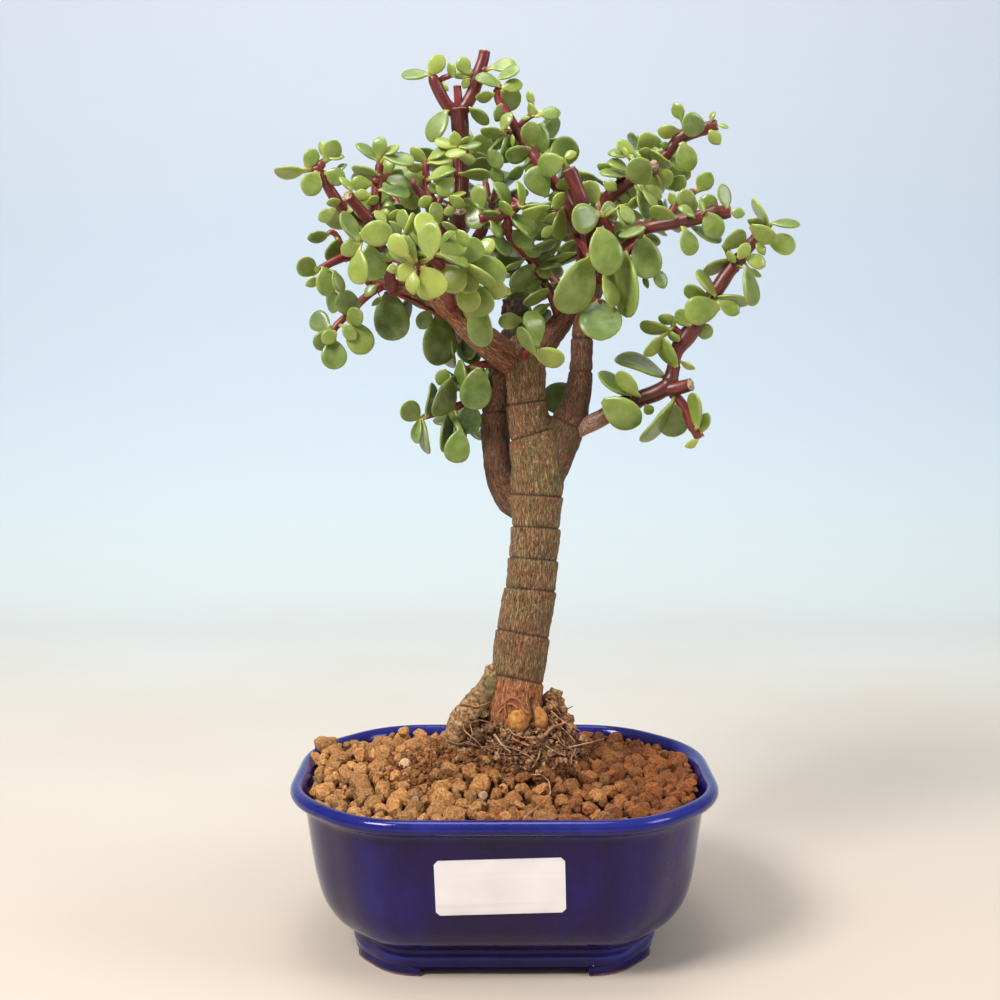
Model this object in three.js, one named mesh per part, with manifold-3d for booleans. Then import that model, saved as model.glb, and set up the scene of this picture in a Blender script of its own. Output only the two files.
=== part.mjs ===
// A dwarf jade bonsai (Portulacaria afra) in its glazed pot.
// Millimetres, +Z up. The pot stands on z = 0, and the origin is under the middle of the whole outline.
import * as THREE from 'three';
import { mergeVertices } from 'three/addons/utils/BufferGeometryUtils.js';
import Module from 'manifold-3d';

const wasm = await Module();
wasm.setup();

// ---------------------------------------------------------------- driving dimensions

const gap = 0.3;                 // left between any two pieces that touch
const rimHalfWidth = 76;         // pot rim, half of its width along X
const rimHalfDepth = 61;         // pot rim, half of its depth along Y
const frontCorner = 48;          // where the long side turns into the cut corner, from the middle
const sideCorner = 30;           // where the short side turns into the cut corner
const cornerPull = 0.42;         // how far those turns draw in for each mm of inset
const cornerRound = 6.5;         // length of side that each rounded turn takes up
const plinthInset = 22.6;        // the foot ring stands this far inside the rim
const plinthBottom = 2.4;
const footLength = 25;
const footDepth = 17;
const drainRadius = 7;
const drainOffset = 26;          // drain holes, from the middle along X
const screenSide = 20;           // drain screens, square plates over the holes
const screenThickness = 1;
const floorTop = 10;
const bedTop = 60.8;              // the soil's level in the middle, and how much it falls to the rim
const bedFall = 1.6;
const granulePitch = 13.5;         // one lump of the clay soil to a square of this side
const granuleDip = 2.2;
const granuleRise = 1.6;
const labelWidth = 43;
const labelHeight = 19.6;
const labelThickness = 0.5;
const labelTilt = 0.031;         // slope of the label, rising to the right
const labelMiddle = [-1.5, 37.9];
const leafThickness = [0.7, 0.095];  // a fixed part, and a share of the leaf's length

// Places in the tree are written as they look from the front, on a square sheet of 1000 units
// a side: [across, down, depth], with the depth in mm behind the middle of the pot.
const eye = new THREE.Vector3(-1.56, -498.5, 213);   // the point that the sheet is seen from
const eyePitch = THREE.MathUtils.degToRad(6.05);     // the sheet leans down by this much
const sheetDistance = 1400;                          // eye to sheet, in sheet units
const sheetMiddle = 500;

// ---------------------------------------------------------------- small tools

// The same run of numbers from 0 to 1 every time.
function seededRandom(seed) {
  let state = seed >>> 0;
  return () => {
    state = (Math.imul(state, 1664525) + 1013904223) >>> 0;
    return state / 4294967296;
  };
}

// Distance from the eye, along its own line of sight, to a depth behind the middle of the pot.
function sheetRay(u, v) {
  const x = (u - sheetMiddle) / sheetDistance;
  const drop = (v - sheetMiddle) / sheetDistance;
  return new THREE.Vector3(x,
    Math.cos(eyePitch) - drop * Math.sin(eyePitch),
    -Math.sin(eyePitch) - drop * Math.cos(eyePitch));
}

// A place on the sheet at a given depth, in mm.
function seen(u, v, depth) {
  const ray = sheetRay(u, v);
  return ray.multiplyScalar((depth - eye.y) / ray.y).add(eye);
}

// How many mm one sheet unit covers at a place.
function unitAt(place) {
  const ahead = (place.y - eye.y) * Math.cos(eyePitch) - (place.z - eye.z) * Math.sin(eyePitch);
  return ahead / sheetDistance;
}

function solidOf(geometry) {
  const bare = geometry.clone();
  bare.deleteAttribute('normal');
  bare.deleteAttribute('uv');
  const merged = mergeVertices(bare, 1e-4);
  return new wasm.Manifold(new wasm.Mesh({
    numProp: 3,
    vertProperties: new Float32Array(merged.attributes.position.array),
    triVerts: new Uint32Array(merged.index.array),
  }));
}

function facesGeometry(faces) {
  const geometry = new THREE.BufferGeometry();
  const corners = faces.flat().flatMap((corner) => corner.toArray());
  geometry.setAttribute('position', new THREE.Float32BufferAttribute(corners, 3));
  return geometry;
}

function geometryOf(solid) {
  const mesh = solid.getMesh();
  const geometry = new THREE.BufferGeometry();
  geometry.setAttribute('position', new THREE.BufferAttribute(mesh.vertProperties, 3));
  geometry.setIndex(new THREE.BufferAttribute(mesh.triVerts, 1));
  return geometry;
}

function joined(solids) {
  let whole = solids[0];
  for (const solid of solids.slice(1)) whole = whole.add(solid);
  return whole;
}

// The largest body of a solid, without the loose scraps that a cut leaves.
function mainBody(solid) {
  const bodies = solid.decompose();
  bodies.sort((a, b) => b.volume() - a.volume());
  return bodies[0];
}

// A closed surface through rings with the same number of points. An end ring is closed flat, and
// has no dents, or it is a single point. Rings run anticlockwise when seen from the end that the
// surface grows towards.
function loft(rings) {
  const count = Math.max(rings[0].length, rings[1].length);
  const positions = rings.flat().flatMap((p) => [p.x, p.y, p.z]);
  const faces = [];
  let start = 0;
  for (let r = 0; r + 1 < rings.length; r += 1) {
    const next = start + rings[r].length;
    for (let i = 0; i < count; i += 1) {
      const turn = (i + 1) % count;
      if (rings[r].length === 1) faces.push(start, next + turn, next + i);
      else if (rings[r + 1].length === 1) faces.push(start + i, start + turn, next);
      else faces.push(start + i, start + turn, next + turn, start + i, next + turn, next + i);
    }
    start = next;
  }
  for (let i = 1; i + 1 < count; i += 1) {
    if (rings[0].length > 1) faces.push(0, i + 1, i);
    if (rings[rings.length - 1].length > 1) faces.push(start, start + i, start + i + 1);
  }
  const geometry = new THREE.BufferGeometry();
  geometry.setAttribute('position', new THREE.Float32BufferAttribute(positions, 3));
  geometry.setIndex(faces);
  return solidOf(geometry);
}

// A tapered round limb through places with their own radii.
function limb(places, radii, sides) {
  return loft(places.map((place, i) => {
    const before = places[Math.max(i - 1, 0)];
    const after = places[Math.min(i + 1, places.length - 1)];
    return ringAround(place, after.clone().sub(before), radii[i], sides);
  }));
}

// A ring of points square to a direction.
function ringAround(place, direction, radius, sides) {
  const across = new THREE.Vector3(0, 1, 0).cross(direction).normalize();
  const up = direction.clone().normalize().cross(across);
  return Array.from({ length: sides }, (_, k) => {
    const angle = (k / sides) * 2 * Math.PI;
    return place.clone()
      .addScaledVector(across, radius * Math.cos(angle))
      .addScaledVector(up, radius * Math.sin(angle));
  });
}

// ---------------------------------------------------------------- pot

// One level line of the pot: an oblong with its four corners cut off and every turn rounded.
function potRing(inset, z) {
  const long = frontCorner - cornerPull * inset;
  const wide = rimHalfWidth - inset;
  const short = sideCorner - cornerPull * inset;
  const deep = rimHalfDepth - inset;
  const quarter = [[wide, short], [long, deep]];
  const turns = [
    ...quarter,
    ...quarter.map(([x, y]) => [-x, y]).reverse(),
    ...quarter.map(([x, y]) => [-x, -y]),
    ...quarter.map(([x, y]) => [x, -y]).reverse(),
  ].map(([x, y]) => new THREE.Vector2(x, y));
  return turns.flatMap((turn, i) => {
    const from = turns[(i + turns.length - 1) % turns.length];
    const to = turns[(i + 1) % turns.length];
    const start = turn.clone().add(from.clone().sub(turn).setLength(cornerRound));
    const end = turn.clone().add(to.clone().sub(turn).setLength(cornerRound));
    const curve = new THREE.QuadraticBezierCurve(start, turn, end);
    return curve.getPoints(2).map((p) => new THREE.Vector3(p.x, p.y, z));
  });
}

// [inset from the rim, height] up the outside, over the lip and down the inside.
const outerProfile = [
  [plinthInset, plinthBottom], [plinthInset, 8.6], [21.6, 9.6], [17.6, 11.8], [13.6, 16],
  [10.6, 22], [8.4, 31], [6.9, 42], [6.0, 55.2],
];
const lipProfile = [
  [4.4, 56.1], [1.2, 56.8], [0, 58.6], [0.5, 60.9], [2.2, 62.3], [4.4, 62.5], [6.4, 61.5], [7.6, 58.6],
];
const innerProfile = [
  [8.0, 54], [9.0, 46], [10.6, 36], [13.2, 26], [16.6, 18], [20.5, 13], [26, 10.4], [30, floorTop],
];

function buildPot() {
  const profile = [...outerProfile, ...lipProfile, ...innerProfile];
  const bowl = loft(profile.map(([inset, z]) => potRing(inset, z)));
  const footing = loft([potRing(plinthInset + 0.8, 0), potRing(plinthInset, 1.2), potRing(plinthInset, 4)]);
  const corners = [-1, 1].flatMap((sx) => [-1, 1].map((sy) => {
    const corner = new THREE.BoxGeometry(footLength, footDepth, 20);
    corner.translate(
      sx * (rimHalfWidth - plinthInset - footLength / 2),
      sy * (rimHalfDepth - plinthInset - footDepth / 2), 0);
    return solidOf(corner);
  }));
  const feet = footing.intersect(joined(corners));
  const drains = [-1, 1].map((side) => {
    const hole = new THREE.CylinderGeometry(drainRadius, drainRadius, 40, 16);
    hole.rotateX(Math.PI / 2);
    hole.translate(side * drainOffset, 0, 0);
    return solidOf(hole);
  });
  return bowl.add(feet).subtract(joined(drains));
}

// A square plastic mesh over each drain hole, which keeps the soil in.
function buildScreen(side, grow) {
  const across = screenSide + 2 * grow;
  const level = floorTop + gap + screenThickness / 2;
  const plate = new THREE.BoxGeometry(across, across, screenThickness + 2 * grow);
  plate.translate(side * drainOffset, 0, level);
  if (grow > 0) return solidOf(plate);
  const cell = screenSide / 4;
  const windows = [-1, 1].flatMap((x) => [-1, 1].map((y) => {
    const window = new THREE.BoxGeometry(cell * 1.2, cell * 1.2, screenThickness * 3);
    window.translate(side * drainOffset + x * cell, y * cell, level);
    return solidOf(window);
  }));
  return solidOf(plate).subtract(joined(windows));
}

// Y of the pot's front wall at a height.
function frontWall(z) {
  const above = outerProfile.findIndex(([, height]) => height >= z);
  const [insetLow, low] = outerProfile[above - 1];
  const [insetHigh, high] = outerProfile[above];
  const inset = THREE.MathUtils.mapLinear(z, low, high, insetLow, insetHigh);
  return inset - rimHalfDepth;
}

// The blank paper label, bent to the front wall, with its corners trimmed.
function buildLabel() {
  const trim = 1.3;
  const rows = 7;
  const levels = [-labelHeight / 2, ...Array.from({ length: rows },
    (_, i) => THREE.MathUtils.lerp(-labelHeight / 2 + trim, labelHeight / 2 - trim, i / (rows - 1))),
  labelHeight / 2];
  const [middleX, middleZ] = labelMiddle;
  return loft(levels.map((level, i) => {
    const end = i === 0 || i === levels.length - 1;
    const half = labelWidth / 2 - (end ? trim : 0);
    const corner = (x, out) => {
      const z = middleZ + level + x * labelTilt;
      return new THREE.Vector3(middleX + x - level * labelTilt, frontWall(z) - out, z);
    };
    return [corner(-half, gap), corner(-half, gap + labelThickness),
      corner(half, gap + labelThickness), corner(half, gap)];
  }));
}

// ---------------------------------------------------------------- soil

const soilProfile = [
  [30.3, 10.3], [26.3, 10.75], [20.9, 13.35], [17, 18.3], [13.6, 26.1], [11, 36], [9.4, 46],
  [8.4, 54], [8.2, 58], [8.2, 80],
];

// The granule bed: a level block whose top is cobbled. Each cell of a pushed-about grid is one
// lump of baked clay, with a tilted flat top, four sloping sides and a dip all round it.
function granuleBlock() {
  const random = seededRandom(11);
  const across = Math.round(2 * rimHalfWidth / granulePitch);
  const deep = Math.round(2 * rimHalfDepth / granulePitch);
  const dome = (x, y) => bedTop - bedFall * ((x / rimHalfWidth) ** 2 + (y / rimHalfDepth) ** 2);
  const positions = [];
  const faces = [];
  const add = (x, y, z) => positions.push(x, y, z) / 3 - 1;
  const grid = [];
  for (let j = 0; j <= deep; j += 1) {
    for (let i = 0; i <= across; i += 1) {
      const x = (i - across / 2 + 0.42 * (random() - 0.5)) * granulePitch;
      const y = (j - deep / 2 + 0.42 * (random() - 0.5)) * granulePitch;
      grid.push(add(x, y, dome(x, y) - granuleDip));
    }
  }
  const corner = (i, j) => grid[j * (across + 1) + i];
  for (let j = 0; j < deep; j += 1) {
    for (let i = 0; i < across; i += 1) {
      const low = [corner(i, j), corner(i + 1, j), corner(i + 1, j + 1), corner(i, j + 1)];
      const spots = low.map((n) => new THREE.Vector3().fromArray(positions, n * 3));
      const middle = spots.reduce((sum, spot) => sum.add(spot), new THREE.Vector3()).divideScalar(4);
      const rise = granuleDip + granuleRise * (0.4 + random());
      const high = spots.map((spot) => {
        const top = middle.clone().lerp(spot, 0.5 + 0.3 * random());
        return add(top.x, top.y, top.z + rise + 1.3 * (random() - 0.5));
      });
      for (let k = 0; k < 4; k += 1) {
        const next = (k + 1) % 4;
        faces.push(low[k], low[next], high[next], low[k], high[next], high[k]);
      }
      faces.push(high[0], high[1], high[2], high[0], high[2], high[3]);
    }
  }
  const edge = [];
  for (let i = 0; i < across; i += 1) edge.push(corner(i, 0));
  for (let j = 0; j < deep; j += 1) edge.push(corner(across, j));
  for (let i = across; i > 0; i -= 1) edge.push(corner(i, deep));
  for (let j = deep; j > 0; j -= 1) edge.push(corner(0, j));
  const foot = edge.map((n) => add(positions[n * 3], positions[n * 3 + 1], 0));
  const centre = add(0, 0, 0);
  edge.forEach((n, k) => {
    const next = (k + 1) % edge.length;
    faces.push(foot[k], foot[next], edge[next], foot[k], edge[next], n);
    faces.push(foot[next], foot[k], centre);
  });
  const geometry = new THREE.BufferGeometry();
  geometry.setAttribute('position', new THREE.Float32BufferAttribute(positions, 3));
  geometry.setIndex(faces);
  return solidOf(geometry);
}

function buildSoil() {
  return loft(soilProfile.map(([inset, z]) => potRing(inset, z))).intersect(granuleBlock());
}

// ---------------------------------------------------------------- root ball and trunk

const moundMiddle = [5, 1];
// [height, half width, half depth, middle of the level along X]
const moundLevels = [
  [24, 20, 18, 5], [40, 26, 23, 5], [58, 27, 25, 5], [64, 26.5, 24, 5], [69, 24, 21.5, 5],
  [74, 20.5, 18, 4], [79, 17, 15, 3], [84, 13.6, 13, 2.6],
];

// The old root ball: a lumpy mound of peat and fine root, half of it under the new soil.
function buildMound(grow) {
  const random = seededRandom(5);
  const sides = 14;
  return loft(moundLevels.map(([z, halfWidth, halfDepth, middle], row) => {
    const end = row === 0 ? -grow : 0;
    return Array.from({ length: sides }, (_, k) => {
      const angle = ((k + 0.5 * (row % 2)) / sides) * 2 * Math.PI;
      const rough = row === 0 || row === moundLevels.length - 1 ? 0 : 0.14;
      const lump = 1 + rough * (random() - 0.5);
      return new THREE.Vector3(
        middle + (halfWidth * lump + grow) * Math.cos(angle),
        moundMiddle[1] + (halfDepth * lump + grow) * Math.sin(angle), z + end);
    });
  }));
}

// [across, down, depth, radius], the radius in sheet units too
const trunkRoute = [
  [512, 800, 2, 20], [512, 760, 1, 24], [513, 728, 1, 28], [513, 706, 1, 29.5], [514, 690, 1, 28.5],
  [518, 670, 1, 27.2], [521, 648, 1, 27.4], [524, 626, 1, 26.8], [528, 604, 1, 26], [531, 583, 1, 25.6],
  [533, 562, 1, 25], [535, 541, 1, 24.6], [536, 520, 1, 24.8], [537, 500, 1, 25.8], [538, 480, 1, 26.6],
  [538, 462, 1, 27], [535, 446, 1, 26], [530, 428, 1, 21.5], [527, 408, 1, 20], [526, 386, 1, 20],
  [525, 366, 1, 20.4], [524, 350, 1, 18], [523, 344, 1, 12],
];
// Where old leaf rings cross the trunk, as the distance down the sheet.
const trunkRings = [679, 634, 590, 559, 528, 496, 435, 402];
const ringGrip = 0.95;           // the trunk's radius in a ring, against beside it
const ringSwell = 1.04;
const ringReach = 4;
const trunkSides = 9;
const limbSides = 6;

const brownLimbs = [
  // left limb
  [[516, 364, 1, 15], [503, 354, -1, 16], [482, 338, -2, 15], [463, 322, -2, 12.5], [447, 308, -2, 10.5],
    [431, 296, -2, 9], [414, 289, -2, 8], [398, 286, -2, 7], [384, 284, -2, 6.2], [370, 280, -2, 5],
    [362, 276, -2, 4.5]],
  // low left limb, rising behind the left one
  [[524, 512, 4, 13], [510, 500, 7, 14], [501, 480, 8, 14.5], [497, 456, 9, 14.5], [495, 430, 10, 14.5],
    [496, 405, 10, 14], [499, 385, 9, 12], [508, 366, 6, 10]],
  // right limb
  [[543, 484, 1, 17], [552, 464, 1, 19], [560, 446, 1, 18], [568, 430, 1, 16], [574, 415, 1, 14.8],
    [577, 398, 1, 14], [580, 382, 1, 12.6], [581, 371, 1, 12], [582, 354, 1, 11.2], [582, 338, 1, 11],
    [585, 320, 1, 10.5], [590, 300, 1, 10], [597, 281, 1, 9], [601, 266, 1, 8]],
  // middle limb
  [[534, 360, 3, 14], [546, 342, 5, 13], [557, 328, 7, 12], [566, 314, 8, 11], [573, 300, 9, 10],
    [578, 284, 9, 9], [581, 266, 8, 7.5]],
  // dead stub on top
  [[514, 360, 4, 13], [514, 335, 6, 10], [514, 318, 7, 9], [514, 313, 7, 12.5], [514, 299, 7, 12.5]],
  // root knobs and the first stretch of each thick root
  [[517, 700, -2, 12], [517, 716, -9, 7.5], [518, 727, -13, 6], [514, 742, -16, 4], [507, 756, -20, 3]],
  [[527, 702, -2, 12], [539, 714, -7, 7], [543, 726, -11, 5.5], [552, 738, -14, 4], [568, 748, -17, 3.5]],
  [[504, 700, 1, 12], [490, 704, 0, 8], [479, 714, -2, 6], [469, 730, -5, 4], [460, 744, -8, 3]],
  [[524, 702, 3, 12], [545, 706, 5, 6], [558, 714, 7, 4.5], [574, 730, 8, 3]],
  [[514, 704, 6, 12], [506, 712, 17, 7], [500, 724, 24, 4]],
];

// The sheet row as a place and a radius in mm, made thicker all round by `grow`.
function placed(row, grow) {
  const [u, v, depth, radius] = row;
  const place = seen(u, v, depth);
  return { place, radius: radius * unitAt(place) + grow };
}

function limbOf(rows, sides, grow = 0) {
  const stations = rows.map((row) => placed(row, grow));
  const [first, second] = stations;
  const [beforeLast, last] = stations.slice(-2);
  const from = first.place.clone().sub(second.place).setLength(grow).add(first.place);
  const to = last.place.clone().sub(beforeLast.place).setLength(grow).add(last.place);
  const places = stations.map((station) => station.place);
  places[0] = from;
  places[places.length - 1] = to;
  return limb(places, stations.map((station) => station.radius), sides);
}

// Extra rows that pinch the trunk in at each old leaf ring.
function ringedRoute() {
  const rows = trunkRoute.map((row) => [...row]);
  for (const ring of trunkRings) {
    const next = rows.findIndex((row) => row[1] < ring);
    const [low, high] = [rows[next - 1], rows[next]];
    const share = (low[1] - ring) / (low[1] - high[1]);
    const middle = low.map((value, i) => THREE.MathUtils.lerp(value, high[i], share));
    const pinch = [-ringReach, 0].map((step) => {
      const row = [...middle];
      row[1] = ring - step;
      row[3] *= step === 0 ? ringGrip : ringSwell;
      return row;
    });
    rows.splice(next, 0, ...pinch);
  }
  return rows.sort((a, b) => b[1] - a[1]);
}

function buildTrunk(grow) {
  const trunk = limbOf(ringedRoute(), trunkSides, grow);
  return joined([trunk, ...brownLimbs.map((rows) => limbOf(rows, limbSides, grow))]);
}

// ---------------------------------------------------------------- leaves and their stems

// [across, down, depth, radius] for each stem, thick end first. A leaf's row is where it leaves
// its stem, where its tip is, and how broad it looks: [across, down, across, down, breadth].
const sprays = [
  {
    name: 'upper_left_spray',
    stems: [
      [
        [392, 288, -4, 6], [386, 262, -10, 6], [378, 240, -14, 6], [376, 222, -16, 6],
        [376, 200, -16, 5.5], [378, 180, -16, 4.5], [380, 160, -16, 4],
      ],
      [
        [380, 244, -13, 6], [366, 232, -14, 6], [355, 223, -14, 6], [340, 205, -15, 6],
        [330, 190, -16, 5.5], [322, 175, -17, 5], [318, 167, -18, 4.5],
      ],
      [[318, 169, -18, 4], [308, 169, -18, 4]],
      [[319, 168, -18, 4], [325, 158, -18, 4]],
      [[382, 236, -14, 6], [372, 222, -18, 5.5], [358, 207, -22, 5.5], [346, 194, -26, 5.5]],
      [[376, 232, -15, 3], [364, 238, -24, 3], [357, 240, -27, 3]],
    ],
    ruled: [
      [[378, 180, -16, 4], [392, 176, -6, 3.5], [398, 186, 4, 3]],
      [[378, 240, -14, 4], [372, 226, -2, 3.5], [360, 214, 8, 3]],
    ],
    leaves: [
      [304, 169, 274, 170, 14], [306, 167, 316, 149, 16], [317, 173, 306, 196, 22],
      [325, 156, 321, 140, 7], [328, 159, 337, 140, 19], [328, 158, 345, 158, 8],
      [327, 172, 346, 182, 18], [337, 172, 348, 165, 6], [351, 191, 338, 178, 8],
      [334, 212, 318, 220, 14], [357, 241, 341, 212, 17], [360, 236, 393, 231, 26],
      [358, 243, 341, 254, 17], [370, 246, 373, 281, 30], [360, 250, 362, 285, 20],
      [352, 229, 364, 231, 8], [372, 224, 357, 208, 9], [376, 161, 355, 145, 10],
      [379, 157, 382, 136, 15], [384, 155, 400, 147, 8], [384, 158, 414, 164, 12],
      [380, 175, 352, 166, 13], [384, 181, 411, 188, 12], [381, 191, 410, 197, 12],
      [371, 184, 350, 183, 16], [370, 196, 354, 194, 12], [382, 207, 396, 201, 8],
      [382, 211, 391, 216, 9], [388, 219, 400, 209, 10], [393, 182, 402, 169, 14],
      [400, 201, 419, 200, 19], [385, 222, 402, 234, 14],
    ],
  },
  {
    name: 'drooping_left_spray',
    stems: [
      [
        [384, 284, -2, 5], [372, 292, -4, 4], [360, 302, -7, 4], [350, 313, -9, 3.5],
        [340, 322, -10, 3.5], [333, 331, -11, 3.5], [333, 340, -11, 2.5],
      ],
    ],
    leaves: [
      [318, 278, 305, 285, 10], [343, 300, 327, 302, 24], [359, 306, 336, 299, 24],
      [330, 328, 311, 316, 22], [332, 330, 316, 349, 19], [333, 340, 335, 370, 26],
      [352, 323, 367, 354, 28], [349, 320, 364, 312, 20], [376, 286, 365, 297, 10],
      [380, 297, 371, 305, 6],
    ],
  },
  {
    name: 'left_tip_spray',
    stems: [
      [
        [368, 280, -2, 4.5], [364, 268, 2, 4.5], [350, 257, -1, 4.5], [335, 261, -7, 4.5],
        [322, 268, -10, 3.5], [314, 271, -11, 2],
      ],
      [[346, 258, -2, 3], [340, 242, -2, 3], [334, 233, -2, 3], [327, 232, -3, 2.5]],
    ],
    leaves: [
      [328, 233, 307, 238, 12], [338, 239, 327, 261, 15], [314, 273, 299, 261, 21],
      [324, 268, 327, 297, 21], [333, 272, 341, 294, 12], [320, 272, 314, 266, 7],
    ],
  },
  {
    name: 'front_rosette_spray',
    stems: [
      [
        [452, 306, -6, 6], [448, 285, -20, 6], [440, 265, -34, 6], [430, 257, -38, 6],
        [420, 263, -41, 5.5], [411, 268, -43, 4.5],
      ],
      [
        [442, 264, -33, 5], [455, 266, -31, 4.5], [466, 274, -28, 4], [474, 288, -22, 3.5],
        [479, 300, -16, 3],
      ],
      [[430, 257, -38, 4], [436, 250, -40, 3.5]],
    ],
    leaves: [
      [415, 262, 393, 239, 27], [426, 250, 428, 222, 12], [439, 256, 432, 219, 15],
      [441, 256, 462, 236, 28], [440, 256, 468, 268, 9], [423, 268, 441, 296, 28],
      [444, 267, 463, 292, 28], [411, 262, 399, 281, 17], [414, 273, 414, 295, 15],
      [396, 268, 386, 270, 10], [474, 256, 461, 232, 13], [425, 255, 416, 252, 5],
      [403, 236, 412, 212, 8], [420, 236, 428, 213, 22], [472, 284, 486, 316, 28],
      [478, 302, 486, 347, 25], [465, 304, 475, 322, 9], [476, 256, 502, 284, 28],
      [466, 262, 497, 284, 11], [492, 287, 511, 295, 9], [458, 230, 471, 246, 12],
      [412, 232, 402, 209, 12],
    ],
  },
  {
    name: 'under_left_spray',
    stems: [
      [
        [402, 286, 0, 4], [398, 294, 0, 2.5], [412, 300, 1, 2.5], [430, 310, 2, 2.5],
        [445, 318, 4, 2.5], [468, 330, 6, 2.5],
      ],
      [[398, 294, 0, 2.5], [384, 293, -0.5, 2]],
    ],
    leaves: [
      [388, 292, 396, 341, 36], [408, 296, 399, 328, 12], [411, 302, 444, 303, 20],
      [430, 311, 419, 329, 17], [440, 314, 435, 366, 34], [446, 318, 456, 368, 17],
      [470, 330, 471, 360, 16],
    ],
  },
  {
    name: 'low_left_upper_spray',
    stems: [
      [[503, 368, 8, 4], [488, 364, 6, 4], [470, 368, 4, 3.5], [455, 378, 2, 3], [450, 380, 2, 2.5]],
    ],
    leaves: [
      [462, 360, 466, 390, 14], [447, 370, 438, 385, 15], [450, 378, 433, 416, 22],
      [456, 378, 447, 402, 14], [479, 368, 473, 410, 32], [471, 374, 470, 403, 17],
      [488, 373, 484, 391, 7],
    ],
  },
  {
    name: 'low_left_lower_spray',
    stems: [
      [[488, 398, 8, 4.5], [472, 402, 6, 4], [458, 406, 4, 4], [440, 413, 2, 3], [420, 418, 1, 2.5]],
    ],
    leaves: [
      [425, 416, 430, 382, 11], [418, 418, 402, 404, 22], [421, 420, 418, 444, 11],
      [424, 419, 431, 454, 9], [446, 415, 443, 453, 17], [456, 416, 454, 453, 13],
      [460, 430, 455, 463, 26], [470, 404, 468, 434, 26],
    ],
  },
  {
    name: 'top_spray',
    stems: [
      [
        [466, 322, 2, 7], [460, 290, 6, 7], [457, 250, 9, 8], [460, 215, 9, 8], [461, 190, 8, 8],
        [461, 150, 6, 8.5], [460, 125, 5, 9], [459, 108, 5, 9.5],
      ],
      [[456, 112, 5, 5], [447, 105, 4, 5], [440, 93, 3, 5], [434, 80, 2, 5], [432, 72, 2, 4.5]],
      [[440, 80, 3, 2.5], [446, 77, 2, 3], [453, 75, 1, 2.5]],
      [[459, 110, 5, 4], [458, 96, 4, 3.5], [458, 84, 4, 3.5]],
      [
        [463, 110, 5, 6], [470, 100, 5, 6], [474, 90, 5, 6], [478, 75, 4, 6], [483, 60, 4, 5.5],
        [485, 49, 4, 5],
      ],
      [[482, 70, 3, 3], [490, 69, 2, 3]],
      [[458, 242, 8, 6], [458, 226, 3, 8], [458, 216, 0, 9], [458, 208, -2, 8.5]],
    ],
    ruled: [
      [[461, 178, 8, 4], [468, 162, 18, 3.5], [476, 146, 26, 3]],
    ],
    leaves: [
      [428, 76, 401, 77, 11], [430, 74, 443, 55, 17], [468, 73, 459, 57, 15], [455, 77, 450, 62, 9],
      [475, 74, 451, 74, 13], [468, 79, 463, 89, 9], [447, 112, 431, 143, 20], [492, 69, 517, 67, 13],
      [471, 108, 490, 123, 12], [483, 160, 481, 134, 22], [473, 152, 490, 172, 18],
      [444, 84, 449, 91, 5],
    ],
  },
  {
    name: 'inner_left_spray',
    stems: [
      [
        [451, 310, 0, 5], [450, 296, 2, 5], [450, 280, -2, 5], [447, 245, -12, 5], [442, 222, -14, 5],
        [451, 206, -14, 4.5], [457, 190, -13, 4], [457, 165, -12, 4], [457, 147, -12, 3.5],
      ],
      [
        [442, 224, -14, 5], [434, 206, -13, 5], [428, 190, -12, 4.5], [426, 175, -12, 4],
        [426, 158, -12, 3],
      ],
      [[434, 206, -13, 4.5], [420, 192, -8, 4.5], [410, 178, -6, 4]],
    ],
    leaves: [
      [426, 160, 411, 147, 13], [430, 160, 448, 151, 9], [424, 167, 406, 165, 10],
      [430, 163, 453, 162, 11], [417, 193, 429, 177, 14], [430, 180, 456, 171, 11],
      [424, 177, 414, 174, 6], [452, 180, 438, 196, 20], [436, 226, 434, 202, 16],
      [459, 231, 442, 221, 8], [456, 146, 454, 131, 13], [459, 143, 469, 136, 6],
      [456, 148, 434, 142, 10], [460, 148, 482, 145, 9], [466, 154, 445, 156, 10],
      [462, 158, 476, 161, 12], [463, 172, 491, 173, 10], [449, 201, 467, 194, 6],
      [474, 208, 462, 199, 12], [470, 209, 482, 229, 22],
    ],
  },
  {
    name: 'diagonal_spray',
    stems: [
      [
        [581, 271, 8, 6.5], [582, 254, 6, 6.5], [577, 232, -4, 7], [568, 205, -11, 6.5],
        [560, 190, -11, 6.5], [545, 172, -10, 6], [535, 157, -9, 6], [527, 145, -8, 5.5],
        [517, 130, -7, 5], [508, 115, -6, 4.5], [500, 103, -5, 4.5], [498, 92, -5, 4.5],
        [501, 84, -5, 3],
      ],
      [[518, 127, -7, 3], [526, 119, -8, 3], [533, 115, -9, 3]],
      [[576, 228, -6, 6], [583, 210, -16, 7], [577, 188, -19, 7], [568, 167, -20, 7]],
      [[512, 136, -7, 3], [507, 131, -9, 2.5], [502, 131, -10, 2.5]],
      [[577, 238, -2, 4], [584, 248, -12, 3.5], [589, 258, -18, 3]],
    ],
    ruled: [
      [[545, 172, -10, 4], [548, 160, 2, 3.5], [538, 142, 12, 3]],
    ],
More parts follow.
